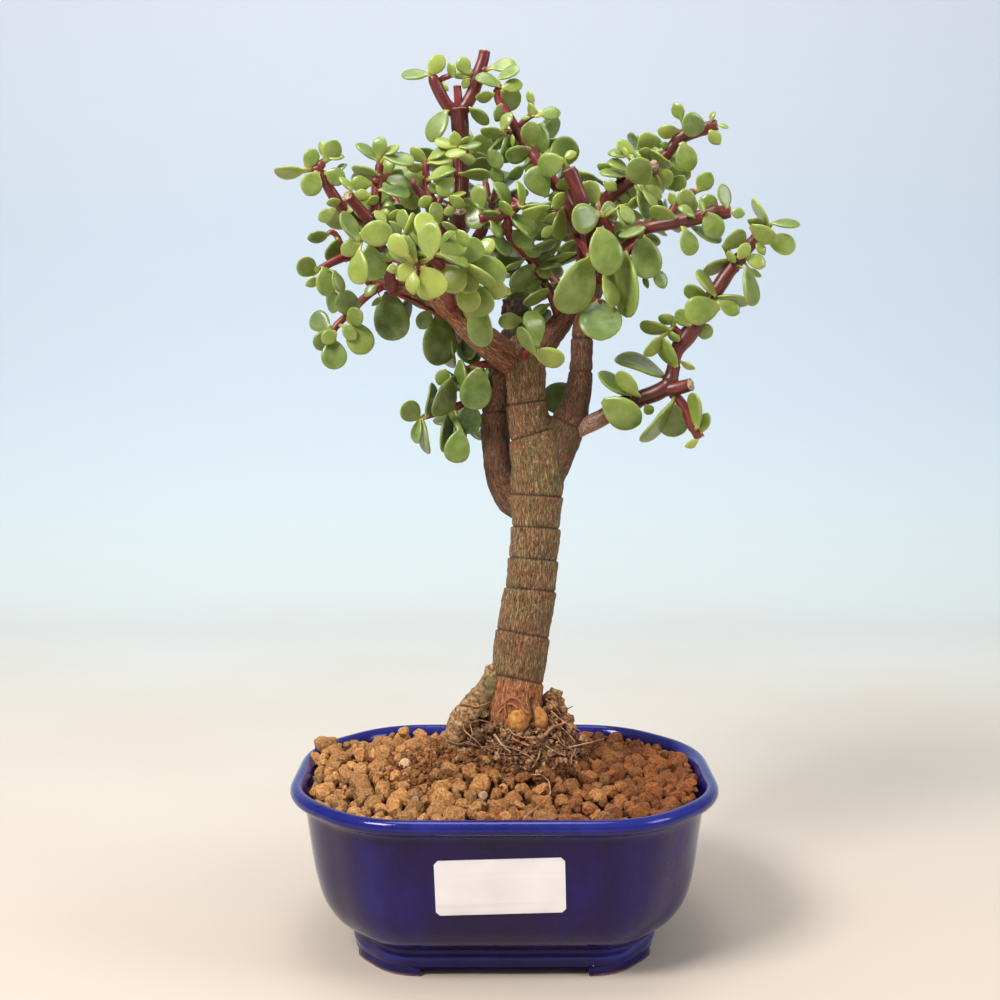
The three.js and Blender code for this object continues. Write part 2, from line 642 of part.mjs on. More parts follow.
    leaves: [
      [499, 80, 520, 69, 10], [499, 87, 475, 78, 12], [493, 94, 475, 97, 12], [503, 88, 523, 85, 14],
      [500, 92, 518, 104, 23], [502, 104, 495, 122, 13], [503, 130, 513, 113, 11],
      [503, 131, 480, 129, 12], [532, 145, 530, 122, 21], [536, 144, 545, 123, 11],
      [533, 144, 566, 141, 14], [534, 104, 529, 90, 8], [535, 117, 530, 102, 9],
      [533, 116, 546, 114, 8], [540, 115, 561, 114, 13], [529, 118, 521, 119, 5],
      [531, 149, 505, 156, 17], [511, 131, 502, 163, 16], [490, 150, 501, 169, 16],
      [514, 146, 513, 134, 5], [491, 170, 504, 182, 14], [523, 166, 506, 178, 12],
      [564, 160, 540, 168, 25], [545, 155, 566, 150, 10], [565, 158, 577, 153, 9],
      [553, 208, 564, 192, 13], [547, 196, 530, 168, 26], [561, 208, 556, 240, 14],
      [588, 258, 558, 311, 38],
    ],
  },
  {
    name: 'upper_right_spray',
    stems: [
      [
        [585, 270, 9, 5.5], [588, 251, 8, 6], [593, 232, 6, 7], [604, 205, 2, 7.5],
        [615, 192, -1, 7.5], [630, 180, -3, 7.5], [645, 170, -5, 6], [656, 164, -9, 5],
      ],
      [
        [632, 179, -3, 6], [650, 168, 2, 6], [665, 156, 2, 6], [675, 143, 1, 6], [683, 136, 0, 7],
        [700, 130, -1, 6.5], [719, 124, -2, 5.5],
      ],
      [[603, 208, 2, 5], [607, 220, -2, 5], [611, 229, -6, 5]],
    ],
    ruled: [
      [[650, 168, 2, 4], [658, 172, 14, 3.5], [668, 166, 22, 3]],
    ],
    leaves: [
      [648, 181, 630, 160, 27], [648, 158, 628, 158, 11], [627, 171, 606, 163, 11],
      [612, 168, 597, 164, 9], [625, 177, 599, 174, 9], [604, 182, 617, 190, 12],
      [602, 198, 612, 192, 9], [627, 157, 607, 155, 8], [633, 153, 616, 142, 13],
      [629, 157, 624, 147, 5], [649, 150, 644, 132, 19], [652, 152, 638, 151, 10],
      [651, 149, 673, 165, 11], [655, 152, 668, 153, 8], [668, 147, 660, 143, 8],
      [656, 170, 671, 184, 19], [641, 189, 662, 198, 16], [637, 191, 648, 221, 13],
      [643, 192, 655, 212, 8], [640, 197, 626, 207, 10], [633, 210, 645, 218, 6],
      [636, 203, 618, 207, 9], [678, 130, 657, 130, 14], [682, 119, 675, 102, 13],
      [704, 127, 680, 122, 24], [682, 144, 690, 172, 22], [671, 159, 684, 171, 12],
      [710, 131, 720, 145, 13], [711, 121, 716, 112, 6], [719, 126, 728, 129, 4],
      [674, 190, 684, 176, 16], [597, 178, 577, 170, 9],
    ],
  },
  {
    name: 'right_spray',
    stems: [
      [
        [602, 271, 2, 5], [612, 260, 2, 4.5], [622, 248, -2, 4.5], [635, 238, -8, 5],
        [648, 228, -12, 6.5], [665, 224, -14, 7], [680, 221, -15, 7.5], [700, 217, -16, 7],
        [715, 213, -16, 7], [732, 212, -16, 6],
      ],
      [[668, 220, -14, 4], [676, 206, -12, 4], [690, 194, -10, 4], [698, 190, -10, 4]],
    ],
    leaves: [
      [676, 218, 650, 207, 16], [693, 217, 677, 208, 9], [690, 209, 682, 189, 19],
      [675, 205, 671, 191, 9], [690, 213, 695, 199, 10], [703, 212, 698, 200, 7],
      [699, 190, 711, 173, 18], [717, 207, 700, 197, 16], [726, 208, 720, 184, 13],
      [731, 212, 745, 214, 11], [706, 213, 720, 238, 22], [692, 229, 721, 243, 11],
      [684, 230, 691, 256, 18],
    ],
  },
  {
    name: 'right_limb_spray',
    stems: [
      [
        [599, 282, 0, 5], [606, 264, -8, 5], [612, 240, -13, 4.5], [606, 222, -15, 4],
        [599, 214, -16, 4],
      ],
      [[607, 262, -8, 4], [622, 258, -12, 3.5], [634, 246, -15, 3], [642, 238, -16, 3]],
      [[612, 240, -13, 3], [602, 230, -19, 3]],
      [[599, 214, -16, 3], [598, 205, -16, 3]],
    ],
    leaves: [
      [599, 228, 609, 276, 34], [628, 252, 632, 318, 25], [608, 270, 622, 286, 15],
      [603, 280, 613, 308, 15], [641, 236, 649, 279, 31], [655, 270, 664, 289, 14],
      [643, 277, 647, 289, 6], [597, 214, 570, 223, 30], [600, 215, 617, 208, 20],
      [597, 203, 584, 182, 21], [617, 206, 629, 231, 14], [620, 206, 633, 224, 13],
      [645, 229, 619, 238, 9],
    ],
  },
  {
    name: 'limb_front_spray',
    stems: [
      [[590, 300, 1, 5], [596, 301, -8, 3.5], [601, 303, -14, 3]],
    ],
    leaves: [
      [600, 302, 601, 342, 43], [600, 299, 614, 307, 6],
    ],
  },
  {
    name: 'limb_hind_spray',
    stems: [
      [[575, 402, 2, 4], [572, 394, 8, 3], [569, 386, 12, 2.5]],
    ],
    leaves: [
      [569, 385, 546, 410, 30],
    ],
  },
  {
    name: 'far_right_spray',
    stems: [
      [
        [560, 440, 0, 10], [575, 432, -2, 9.5], [590, 424, -4, 9], [605, 416, -5, 9],
        [625, 403, -6, 8.5], [645, 397, -7, 8.5], [660, 391, -8, 8.5], [669, 383, -8, 8],
        [673, 370, -8, 6.5], [676, 355, -8, 6], [680, 345, -8, 8.5], [688, 335, -8, 9],
        [698, 320, -9, 8.5], [708, 303, -10, 8], [718, 288, -11, 7.5], [728, 273, -11, 7],
        [737, 262, -11, 6.5], [748, 248, -12, 6], [759, 234, -12, 5.5], [766, 226, -13, 5],
      ],
      [[664, 390, -8, 7], [678, 388, -10, 7], [693, 384, -13, 6.5]],
      [[672, 392, -8, 5], [684, 407, -9, 5], [692, 425, -10, 5], [701, 440, -11, 4.5]],
      [[684, 338, -8, 3.5], [678, 332, -10, 3.5], [671, 325, -12, 3]],
      [[736, 262, -11, 3.5], [730, 256, -12, 3.5], [726, 248, -13, 3]],
      [[764, 228, -13, 4], [772, 226, -14, 3.5]],
      [[712, 300, -10, 3.5], [712, 297, -14, 3.5]],
    ],
    leaves: [
      [603, 400, 641, 423, 32], [630, 396, 597, 374, 15], [638, 394, 618, 371, 18],
      [664, 379, 613, 362, 12], [670, 402, 638, 440, 12], [671, 403, 675, 437, 31],
      [645, 405, 652, 414, 11], [660, 337, 643, 355, 13], [678, 366, 661, 337, 15],
      [670, 329, 640, 322, 14], [677, 320, 658, 316, 11], [690, 325, 676, 310, 16],
      [680, 340, 668, 331, 8], [682, 361, 696, 368, 7], [719, 307, 684, 313, 29],
      [697, 326, 712, 336, 16], [708, 298, 685, 286, 15], [714, 297, 695, 271, 9],
      [715, 296, 750, 301, 13], [719, 303, 739, 314, 15], [744, 269, 751, 307, 14],
      [750, 268, 762, 276, 6], [731, 259, 702, 271, 11], [738, 258, 749, 243, 13],
      [736, 262, 728, 250, 8], [746, 257, 765, 267, 15], [756, 244, 764, 256, 9],
      [751, 225, 775, 240, 18], [763, 222, 747, 219, 10], [770, 224, 754, 197, 8],
      [773, 225, 800, 226, 8], [768, 239, 795, 249, 21], [722, 247, 745, 232, 16],
      [699, 427, 694, 392, 14], [702, 432, 709, 413, 13], [697, 440, 684, 446, 9],
    ],
  },
  {
    name: 'fork_spray',
    stems: [
      [[524, 356, -4, 5], [526, 350, -12, 4], [532, 348, -16, 3.5], [536, 349, -18, 3]],
    ],
    leaves: [
      [521, 320, 498, 323, 17], [536, 346, 527, 311, 20], [536, 352, 520, 326, 12],
      [535, 351, 565, 360, 20],
    ],
  },
  {
    name: 'middle_spray',
    stems: [
      [
        [560, 320, 8, 5], [553, 300, 4, 4.5], [545, 284, 2, 4.5], [532, 262, -4, 4], [517, 246, -9, 4],
        [508, 232, -14, 4.5], [508, 216, -19, 5.5],
      ],
      [
        [483, 218, -20, 5], [496, 215, -20, 6], [508, 211, -20, 6], [518, 206, -22, 4.5],
        [522, 204, -23, 3.5],
      ],
      [[532, 262, -4, 3.5], [528, 276, 2, 3], [530, 288, 6, 3]],
    ],
    leaves: [
      [521, 206, 515, 181, 8], [522, 206, 552, 201, 9], [511, 216, 534, 239, 15],
      [508, 210, 493, 183, 13], [482, 210, 479, 184, 17], [488, 211, 474, 204, 7],
      [500, 212, 483, 210, 5], [549, 205, 521, 212, 11], [556, 212, 539, 220, 8],
      [491, 223, 500, 239, 11], [492, 238, 510, 256, 14], [528, 253, 501, 246, 9],
      [528, 250, 556, 240, 9], [512, 232, 532, 246, 18], [522, 260, 504, 268, 6],
      [533, 264, 510, 289, 19], [540, 282, 526, 288, 13], [576, 252, 544, 262, 12],
      [575, 240, 558, 250, 9], [560, 264, 540, 270, 7], [548, 288, 522, 303, 12],
      [548, 306, 532, 316, 11], [556, 282, 534, 298, 13], [552, 226, 541, 237, 10],
    ],
  },
  {
    name: 'back_left_spray',
    stems: [],
    ruled: [
      [
        [486, 340, 0, 6], [480, 322, 12, 5.5], [458, 294, 19, 5.5], [438, 265, 24, 5],
        [416, 235, 32, 4.5], [398, 205, 38, 4], [385, 180, 42, 3],
      ],
      [[438, 265, 24, 4], [405, 262, 34, 3.5], [380, 255, 40, 3]],
      [[416, 235, 32, 3.5], [440, 200, 38, 3], [440, 170, 42, 3]],
    ],
    leaves: [],
  },
  {
    name: 'back_middle_spray',
    stems: [],
    ruled: [
      [
        [531, 352, 8, 6], [529, 320, 18, 5.5], [518, 285, 28, 5], [505, 250, 34, 4.5],
        [492, 215, 38, 4], [485, 180, 42, 3],
      ],
      [[518, 285, 28, 4], [545, 262, 35, 3.5], [560, 240, 40, 3]],
      [[505, 250, 34, 3.5], [470, 245, 40, 3], [455, 225, 43, 3]],
    ],
    leaves: [],
  },
  {
    name: 'back_right_spray',
    stems: [],
    ruled: [
      [
        [592, 290, 2, 6], [594, 278, 13, 5.5], [598, 262, 18, 5.5], [606, 235, 26, 5],
        [618, 205, 34, 4.5], [632, 180, 40, 4], [645, 160, 44, 3],
      ],
      [[606, 235, 26, 4], [640, 225, 36, 3.5], [665, 215, 42, 3]],
      [[598, 262, 18, 3.5], [575, 240, 28, 3], [560, 215, 34, 3]],
    ],
    leaves: [],
  },
  {
    name: 'back_low_spray',
    stems: [],
    ruled: [
      [[498, 392, 10, 5], [480, 370, 22, 4.5], [462, 345, 30, 4], [448, 328, 34, 3]],
      [[480, 370, 22, 3.5], [470, 396, 28, 3], [462, 418, 32, 3]],
    ],
    leaves: [],
  },
];

const leafPlump = 0.86;          // breadth of a full leaf against its length
const leafSlim = 0.74;
const leafClearance = 0.7;       // kept between leaves of different sprays
const stalkRadius = 0.9;
const stalkEnd = 0.3;            // how far along the leaf its stalk reaches inside it
const stalkReach = 2.6;          // a leaf that starts this far from its stem has a stalk
const leafTurns = [0.36, 0.8];   // where its outline turns, and where it is thickest
const leafPeak = 0.5;
const stemSides = 4;
const leastLeaf = 6.8;           // shorter buds keep their room but aren't built
const ruledSpacing = 9.4;
const ruledLength = [9.5, 13.5];
const depthSteps = [0, -2, 2, -4, 4, -6, 6, -8.5, 8.5, -11, 11, -14, 14];

// Half breadth along an egg-shaped leaf, broadest past its middle, as a share of the most.
function leafOutline(t) {
  return (t ** 0.685) * ((1 - t) ** 0.42) / 0.48;
}

// A leaf from its row on the sheet, at a depth. What looks short or narrow is seen at a slant.
function leafFromRow(row, depth, leans) {
  const [u0, v0, u1, v1, breadth] = row;
  const base = seen(u0, v0, depth);
  const unit = unitAt(base);
  const flat = seen(u1, v1, depth).sub(base);
  const looksLong = flat.length();
  const looksBroad = breadth * unit;
  const length = Math.max(looksLong, looksBroad / leafPlump);
  const broad = Math.max(looksBroad, length * leafSlim);
  const sight = base.clone().sub(eye).normalize();
  const slant = Math.acos(Math.min(looksLong / length, 1));
  const turn = Math.acos(Math.min(looksBroad / broad, 1));
  const along = flat.normalize().multiplyScalar(Math.cos(slant))
    .addScaledVector(sight, -Math.sin(slant) * leans.tip).normalize();
  const across = new THREE.Vector3().crossVectors(along, sight).normalize();
  const facing = new THREE.Vector3().crossVectors(across, along);
  const side = across.clone().multiplyScalar(Math.cos(turn))
    .addScaledVector(facing, Math.sin(turn) * leans.side);
  return makeLeaf(base, along, side, length, broad);
}

function makeLeaf(base, along, side, length, broad) {
  const normal = new THREE.Vector3().crossVectors(along, side).normalize();
  const thick = leafThickness[0] + leafThickness[1] * length;
  return { base, along, side, normal, length, broad, thick };
}

// Points spread over a leaf, which stand for it when room is looked for.
function leafPoints(leaf) {
  const points = [leaf.base.clone().addScaledVector(leaf.along, leaf.length)];
  for (const t of [0.18, 0.42, 0.66, 0.88]) {
    const half = (leaf.broad / 2) * leafOutline(t);
    for (const across of [-0.8, 0, 0.8]) {
      points.push(leaf.base.clone()
        .addScaledVector(leaf.along, leaf.length * t)
        .addScaledVector(leaf.side, half * across));
    }
  }
  return points;
}

function touchesLeaf(point, leaf, reach) {
  const offset = point.clone().sub(leaf.base);
  const t = offset.dot(leaf.along) / leaf.length;
  const margin = reach / leaf.length;
  if (t < -margin || t > 1 + margin) return false;
  if (Math.abs(offset.dot(leaf.normal)) > leaf.thick + reach) return false;
  const half = (leaf.broad / 2) * leafOutline(THREE.MathUtils.clamp(t, 0.04, 0.96));
  return Math.abs(offset.dot(leaf.side)) < half + reach;
}

// Balls along every stem and limb that a leaf has to keep clear of.
function stemBalls(rows) {
  const balls = [];
  for (let i = 0; i + 1 < rows.length; i += 1) {
    const from = placed(rows[i], 0);
    const to = placed(rows[i + 1], 0);
    const steps = Math.ceil(from.place.distanceTo(to.place) / 2);
    for (let k = 0; k <= steps; k += 1) {
      balls.push({
        place: from.place.clone().lerp(to.place, k / steps),
        radius: THREE.MathUtils.lerp(from.radius, to.radius, k / steps),
      });
    }
  }
  return balls;
}

function clearOfStems(leaf, balls, reach) {
  return !balls.some((ball) => (
    touchesLeaf(ball.place, leaf, ball.radius + reach - leaf.thick / 2)
    || leaf.stalk.some((point) => point.distanceTo(ball.place) < ball.radius + reach + stalkRadius / 2)));
}

function clearOfLeaves(leaf, others, reach) {
  const points = [...leafPoints(leaf), ...leaf.stalk];
  return !others.some((other) => points.some((point) => touchesLeaf(point, other, reach))
    || other.points.some((point) => touchesLeaf(point, leaf, reach)));
}

// The outer part of a leaf, without its root, which its neighbours on the stem may meet.
function outerPart(leaf) {
  const cut = 0.34;
  const base = leaf.base.clone().addScaledVector(leaf.along, leaf.length * cut);
  const outer = { ...leaf, base, length: leaf.length * (1 - cut), broad: leaf.broad * 0.94, stalk: [] };
  return { ...outer, points: leafPoints(outer) };
}

// The leaf joined to the ball of its stem that lies nearest to its base, by a stalk if need be.
function onStem(leaf, balls) {
  const stem = balls.reduce((best, ball) => (
    ball.place.distanceTo(leaf.base) < best.place.distanceTo(leaf.base) ? ball : best));
  const away = stem.place.distanceTo(leaf.base) - stem.radius;
  const stalk = away < stalkReach ? [] : [0.4, 0.7].map((t) => stem.place.clone().lerp(leaf.base, t));
  return { ...leaf, stem, stalk };
}

// A leaf as a fleshy blade of flat faces: six-cornered, flat behind and raised in front to one
// peak, with its root inside the stem, or joined to the stem by a tapered stalk.
function leafSolid(leaf) {
  const at = (t, across, raised) => leaf.base.clone()
    .addScaledVector(leaf.along, leaf.length * t)
    .addScaledVector(leaf.side, across)
    .addScaledVector(leaf.normal, raised);
  const half = (t) => (leaf.broad / 2) * leafOutline(t);
  const [near, far] = leafTurns.map((t) => [at(t, half(t), 0), at(t, -half(t), 0)]);
  const peak = at(leafPeak, 0, leaf.thick);
  const tip = at(1, 0, 0);
  const root = leaf.stalk.length > 0 ? leaf.base : leaf.stem.place;
  const outline = [root, near[1], far[1], tip, far[0], near[0]];
  const faces = outline.map((corner, i) => [peak, corner, outline[(i + 1) % outline.length]]);
  faces.push([root, near[0], near[1]], [near[1], near[0], far[0]]);
  faces.push([near[1], far[0], far[1]], [far[1], far[0], tip]);
  const blade = solidOf(facesGeometry(faces));
  if (leaf.stalk.length === 0) return blade;
  const end = at(stalkEnd, 0, leaf.thick * stalkEnd);
  const start = ringAround(leaf.stem.place, end.clone().sub(leaf.stem.place), stalkRadius, 3);
  return blade.add(loft([start, [end]]));
}

// Opposite pairs of leaves along a stem that no row describes, each pair turned a quarter from
// the last, with a closing pair at the tip.
function ruledLeaves(balls, random) {
  const leaves = [];
  const start = balls.findIndex((ball) => ball.place.distanceTo(balls[0].place) > 6);
  let travelled = ruledSpacing;
  let quarter = random() * Math.PI;
  for (let i = start; i < balls.length; i += 1) {
    const before = balls[i - 1].place;
    travelled += balls[i].place.distanceTo(before);
    if (travelled < ruledSpacing && i < balls.length - 1) continue;
    travelled = 0;
    quarter += Math.PI / 2;
    const along = balls[i].place.clone().sub(before).normalize();
    const first = new THREE.Vector3(0, 0, 1).cross(along).normalize();
    const second = along.clone().cross(first);
    for (const half of [0, Math.PI]) {
      const outward = first.clone().multiplyScalar(Math.cos(quarter + half))
        .addScaledVector(second, Math.sin(quarter + half));
      const opening = 0.9 + 0.35 * random();
      const direction = along.clone().multiplyScalar(Math.cos(opening))
        .addScaledVector(outward, Math.sin(opening)).normalize();
      const side = along.clone().cross(outward).normalize();
      const length = THREE.MathUtils.lerp(...ruledLength, random());
      const base = balls[i].place.clone().addScaledVector(outward, balls[i].radius * 0.7);
      leaves.push(makeLeaf(base, direction, side, length, length * (0.76 + 0.1 * random())));
    }
  }
  return leaves;
}

// The leaves of one spray, settled before any solid is made. A leaf moves nearer or farther on
// its line of sight until it is clear of all other leaves and stems, or at least of other sprays.
function planSpray(spray, number, obstacles, others) {
  const random = seededRandom(100 + number);
  const routes = routesOf(spray);
  const balls = routes.flatMap((rows) => stemBalls(rows).slice(0, -1));
  const free = balls.filter((ball) => !obstacles.some((other) => (
    ball.place.distanceTo(other.place) < other.radius + gap)));
  const plan = [];
  const outers = [];
  const keep = (leaf) => {
    plan.push({ ...leaf, points: [...leafPoints(leaf), ...leaf.stalk] });
    outers.push(outerPart(leaf));
  };
  const clearOutside = (leaf) => clearOfStems(leaf, obstacles, leafClearance)
    && clearOfLeaves(leaf, others, leafClearance);
  const clearInside = (leaf) => {
    const outer = outerPart(leaf);
    return clearOfStems(outer, balls, 0.1) && clearOfLeaves(outer, outers, 0.1);
  };
  for (const row of spray.leaves) {
    const from = nearestOnSheet(routes, row);
    const leans = { tip: random() < 0.7 ? 1 : -1, side: random() < 0.7 ? 1 : -1 };
    const tries = depthSteps
      .map((step) => onStem(leafFromRow(row, from + step, leans), free))
      .filter(clearOutside);
    const found = tries.find(clearInside) ?? tries[0];
    if (found) keep(found);
  }
  for (const rows of spray.ruled ?? []) {
    for (const bare of ruledLeaves(stemBalls(rows), random)) {
      const leaf = onStem(bare, free);
      if (clearOutside(leaf) && clearInside(leaf)) keep(leaf);
    }
  }
  return plan;
}

// The depth of the stem that a leaf's row starts from, a little in front of its middle.
function nearestOnSheet(routes, row) {
  let best = Infinity;
  let depth = 0;
  for (const rows of routes) {
    for (let i = 0; i + 1 < rows.length; i += 1) {
      for (let k = 0; k <= 4; k += 1) {
        const [u, v, y, radius] = rows[i].map((value, n) => (
          THREE.MathUtils.lerp(value, rows[i + 1][n], k / 4)));
        const away = Math.hypot(u - row[0], v - row[1]);
        if (away < best) {
          best = away;
          depth = y - 0.2 * radius;
        }
      }
    }
  }
  return depth;
}

function routesOf(spray) {
  return [...spray.stems, ...(spray.ruled ?? [])];
}

function buildSprays(grownTrunk) {
  const trunkBalls = [trunkRoute, ...brownLimbs].flatMap((rows) => stemBalls(rows));
  const ballsOf = sprays.map((spray) => routesOf(spray).flatMap((rows) => stemBalls(rows)));
  const settled = [];
  let earlier = grownTrunk;
  return sprays.map((spray, number) => {
    const obstacles = [...trunkBalls, ...ballsOf.filter((_, i) => i !== number).flat()];
    const plan = planSpray(spray, number, obstacles, settled);
    const stems = routesOf(spray).map((rows) => limbOf(rows, stemSides));
    const leaves = plan.filter((leaf) => leaf.length > leastLeaf).map((leaf) => leafSolid(leaf));
    const whole = joined([...stems, ...leaves]).subtract(earlier);
    earlier = joined([earlier, ...routesOf(spray).map((rows) => limbOf(rows, stemSides, gap))]);
    settled.push(...plan);
    return { name: spray.name, solid: mainBody(whole) };
  });
}

// ---------------------------------------------------------------- the whole tree

const finishes = {
  glaze: { color: 0x1d2668, roughness: 0.12 },
  clay: { color: 0x9c6a38, roughness: 0.95 },
  peat: { color: 0x5f4a39, roughness: 0.95 },
  bark: { color: 0x7d6348, roughness: 0.85 },
  leaf: { color: 0x86a544, roughness: 0.4 },
  paper: { color: 0xf2eef0, roughness: 0.7 },
  mesh: { color: 0x2c2c2a, roughness: 0.6 },
};

function named(name, solid, finish) {
  const mesh = new THREE.Mesh(geometryOf(solid), new THREE.MeshStandardMaterial({
    ...finishes[finish], metalness: 0, flatShading: true,
  }));
  mesh.name = name;
  return mesh;
}

const tree = new THREE.Group();
const trunk = buildTrunk(0);
const grownTrunk = buildTrunk(gap);
const mound = buildMound(0).subtract(grownTrunk);
const grownScreens = [-1, 1].map((side) => buildScreen(side, gap));
const soil = buildSoil().subtract(joined([buildMound(gap), grownTrunk, ...grownScreens]));
tree.add(named('pot', buildPot(), 'glaze'));
tree.add(named('blank_label', buildLabel(), 'paper'));
tree.add(named('drain_screen_left', buildScreen(-1, 0), 'mesh'));
tree.add(named('drain_screen_right', buildScreen(1, 0), 'mesh'));
tree.add(named('soil', mainBody(soil), 'clay'));
tree.add(named('root_ball', mainBody(mound), 'peat'));
tree.add(named('trunk', trunk, 'bark'));
for (const { name, solid } of buildSprays(grownTrunk)) {
  tree.add(named(name, solid, 'leaf'));
}

// The origin goes under the middle of the whole outline.
const outline = new THREE.Box3().setFromObject(tree);
const middle = outline.getCenter(new THREE.Vector3());
tree.position.set(-middle.x, -middle.y, 0);

export default tree;
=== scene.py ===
"""A dwarf jade bonsai in a blue glazed pot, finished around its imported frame."""
import math

import bpy
import numpy as np
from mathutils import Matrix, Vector


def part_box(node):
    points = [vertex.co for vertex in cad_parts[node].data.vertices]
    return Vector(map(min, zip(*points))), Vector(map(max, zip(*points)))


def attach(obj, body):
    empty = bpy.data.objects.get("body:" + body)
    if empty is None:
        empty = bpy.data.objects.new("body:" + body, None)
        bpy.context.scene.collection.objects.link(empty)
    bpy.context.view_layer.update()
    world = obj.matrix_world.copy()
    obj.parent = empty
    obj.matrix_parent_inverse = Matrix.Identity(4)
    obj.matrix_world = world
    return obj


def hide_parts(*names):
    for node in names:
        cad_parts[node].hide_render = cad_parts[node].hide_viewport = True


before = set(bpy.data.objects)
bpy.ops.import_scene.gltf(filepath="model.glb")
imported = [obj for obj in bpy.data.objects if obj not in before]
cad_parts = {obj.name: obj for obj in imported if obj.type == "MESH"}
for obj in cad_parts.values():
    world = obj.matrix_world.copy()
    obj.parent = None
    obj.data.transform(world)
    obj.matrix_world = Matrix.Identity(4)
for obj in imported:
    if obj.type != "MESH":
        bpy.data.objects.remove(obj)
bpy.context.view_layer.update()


# ------------------------------------------------------------------ the pot
# Pressed stoneware, an oblong with cut corners, dipped in cobalt glaze and fired standing on its
# four feet. The glaze runs thin and bright over the lip and the corners, and the foot rims are bare.

RIM_HALF = (76.0, 61.0)             # mm, half of the rim along X and Y
CORNER_TURN = (48.0, 30.0)          # where the long and short sides turn into the cut corner
CORNER_PULL = 0.42                  # how far those turns draw in for each mm of inset
CORNER_ROUND = (18.0, .5, 9.0)      # length of side that a rounded turn takes up: at the rim, its
                                    # loss for each mm of inset, and the least
PLINTH_INSET = 22.6
POT_WALL = np.array([               # [inset from the rim, height] up the outside
    [40, 2.6], [24.2, 2.6], [23.0, 2.9], [22.5, 3.7], [22.1, 4.9], [21.8, 6.0], [21.9, 6.9],
    [22.1, 7.7], [22.3, 8.5], [22.1, 9.4], [21.2, 10.4], [19.2, 11.6], [16.9, 13.3], [14.2, 16.2],
    [10.9, 22], [8.5, 31], [6.9, 42], [6.0, 49], [5.3, 53.4], [4.3, 55.5],
    [3.0, 56.4], [1.5, 57], [.5, 57.9], [.05, 59], [.2, 60.2], [.8, 61.2], [1.8, 61.9], [2.9, 62],
    [3.9, 61.5], [4.8, 60.4], [5.6, 58.8], [6.6, 56], [7.6, 52], [9.2, 45], [10.8, 36], [13.4, 26],
    [16.8, 18], [20.7, 13], [26, 10.4], [34, 10.0]])
FOOT_SIZE = (24.0, 17.0, 4.6)
FOOT_LEAN = 2.4                     # how far a foot's inner ends draw in as they rise
DRAIN_HOLES = (26.0, 7.0)           # offset from the middle along X, radius
LIP_LEVEL, PLINTH_LEVEL = 60.4, 6.4     # where the glaze runs thinnest
TURN_POINTS, SIDE_POINTS = 9, 8     # points along each turn of the outline, and along each side

pot_low, pot_high = (np.array(corner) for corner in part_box("pot"))
POT_MIDDLE = np.array([(pot_low[0] + pot_high[0]) / 2, (pot_low[1] + pot_high[1]) / 2, 0.0])


def smooth_line(points, steps):
    """A Catmull-Rom line through the points: between two of them it is the cubic whose slopes are
    half the span of their neighbours, taken at `steps` equal shares."""
    points = np.asarray(points, float)
    padded = np.vstack([2 * points[0] - points[1], points, 2 * points[-1] - points[-2]])
    p0, p1, p2, p3 = padded[:-3], padded[1:-2], padded[2:-1], padded[3:]
    t = (np.arange(steps) / steps)[None, :, None]
    p0, p1, p2, p3 = (p[:, None] for p in (p0, p1, p2, p3))
    line = p1 + .5 * t * (p2 - p0 + t * (2 * p0 - 5 * p1 + 4 * p2 - p3
                                         + t * (3 * (p1 - p2) + p3 - p0)))
    return np.vstack([line.reshape(-1, points.shape[1]), points[-1:]])


def pot_outline(inset, turn_steps=TURN_POINTS, side_steps=SIDE_POINTS):
    """The level outline at each inset: each of the eight turns is the quadratic curve that leaves
    its two sides a rounding away from the corner, and the straight sides run between the curves."""
    inset = np.atleast_1d(np.asarray(inset, float))[:, None]
    wide, deep = RIM_HALF[0] - inset, RIM_HALF[1] - inset
    long, short = (turn - CORNER_PULL * inset for turn in CORNER_TURN)
    quarter = [(wide, short), (long, deep)]
    turns = (quarter + [(-x, y) for x, y in reversed(quarter)]
             + [(-x, -y) for x, y in quarter] + [(x, -y) for x, y in reversed(quarter)])
    turns = np.stack([np.concatenate(turn, axis=1) for turn in turns], axis=1)
    ahead = np.roll(turns, -1, axis=1) - turns
    behind = np.roll(turns, 1, axis=1) - turns
    ahead /= np.linalg.norm(ahead, axis=2, keepdims=True)
    behind /= np.linalg.norm(behind, axis=2, keepdims=True)
    rounding = np.maximum(CORNER_ROUND[0] - CORNER_ROUND[1] * inset, CORNER_ROUND[2])[..., None]
    start, end = turns + behind * rounding, turns + ahead * rounding
    t = np.linspace(0, 1, turn_steps)[None, None, :, None]
    curve = ((1 - t) ** 2 * start[:, :, None] + 2 * t * (1 - t) * turns[:, :, None]
             + t ** 2 * end[:, :, None])
    following = np.roll(start, -1, axis=1)[:, :, None]
    s = np.linspace(0, 1, side_steps + 2)[1:-1][None, None, :, None]
    side = end[:, :, None] * (1 - s) + following * s
    whole = np.concatenate([curve, side], axis=2)
    return whole.reshape(len(inset), -1, 2)


def ring_faces(rings, around, first=0, closed=True):
    """Quads between one ring of points and the next, each ring `around` points long."""
    ring = np.arange(rings - 1)[:, None] * around + first
    turn = np.arange(around if closed else around - 1)
    ahead = (turn + 1) % around
    quads = np.stack([ring + turn, ring + ahead, ring + around + ahead, ring + around + turn], -1)
    return quads.reshape(-1, 4)


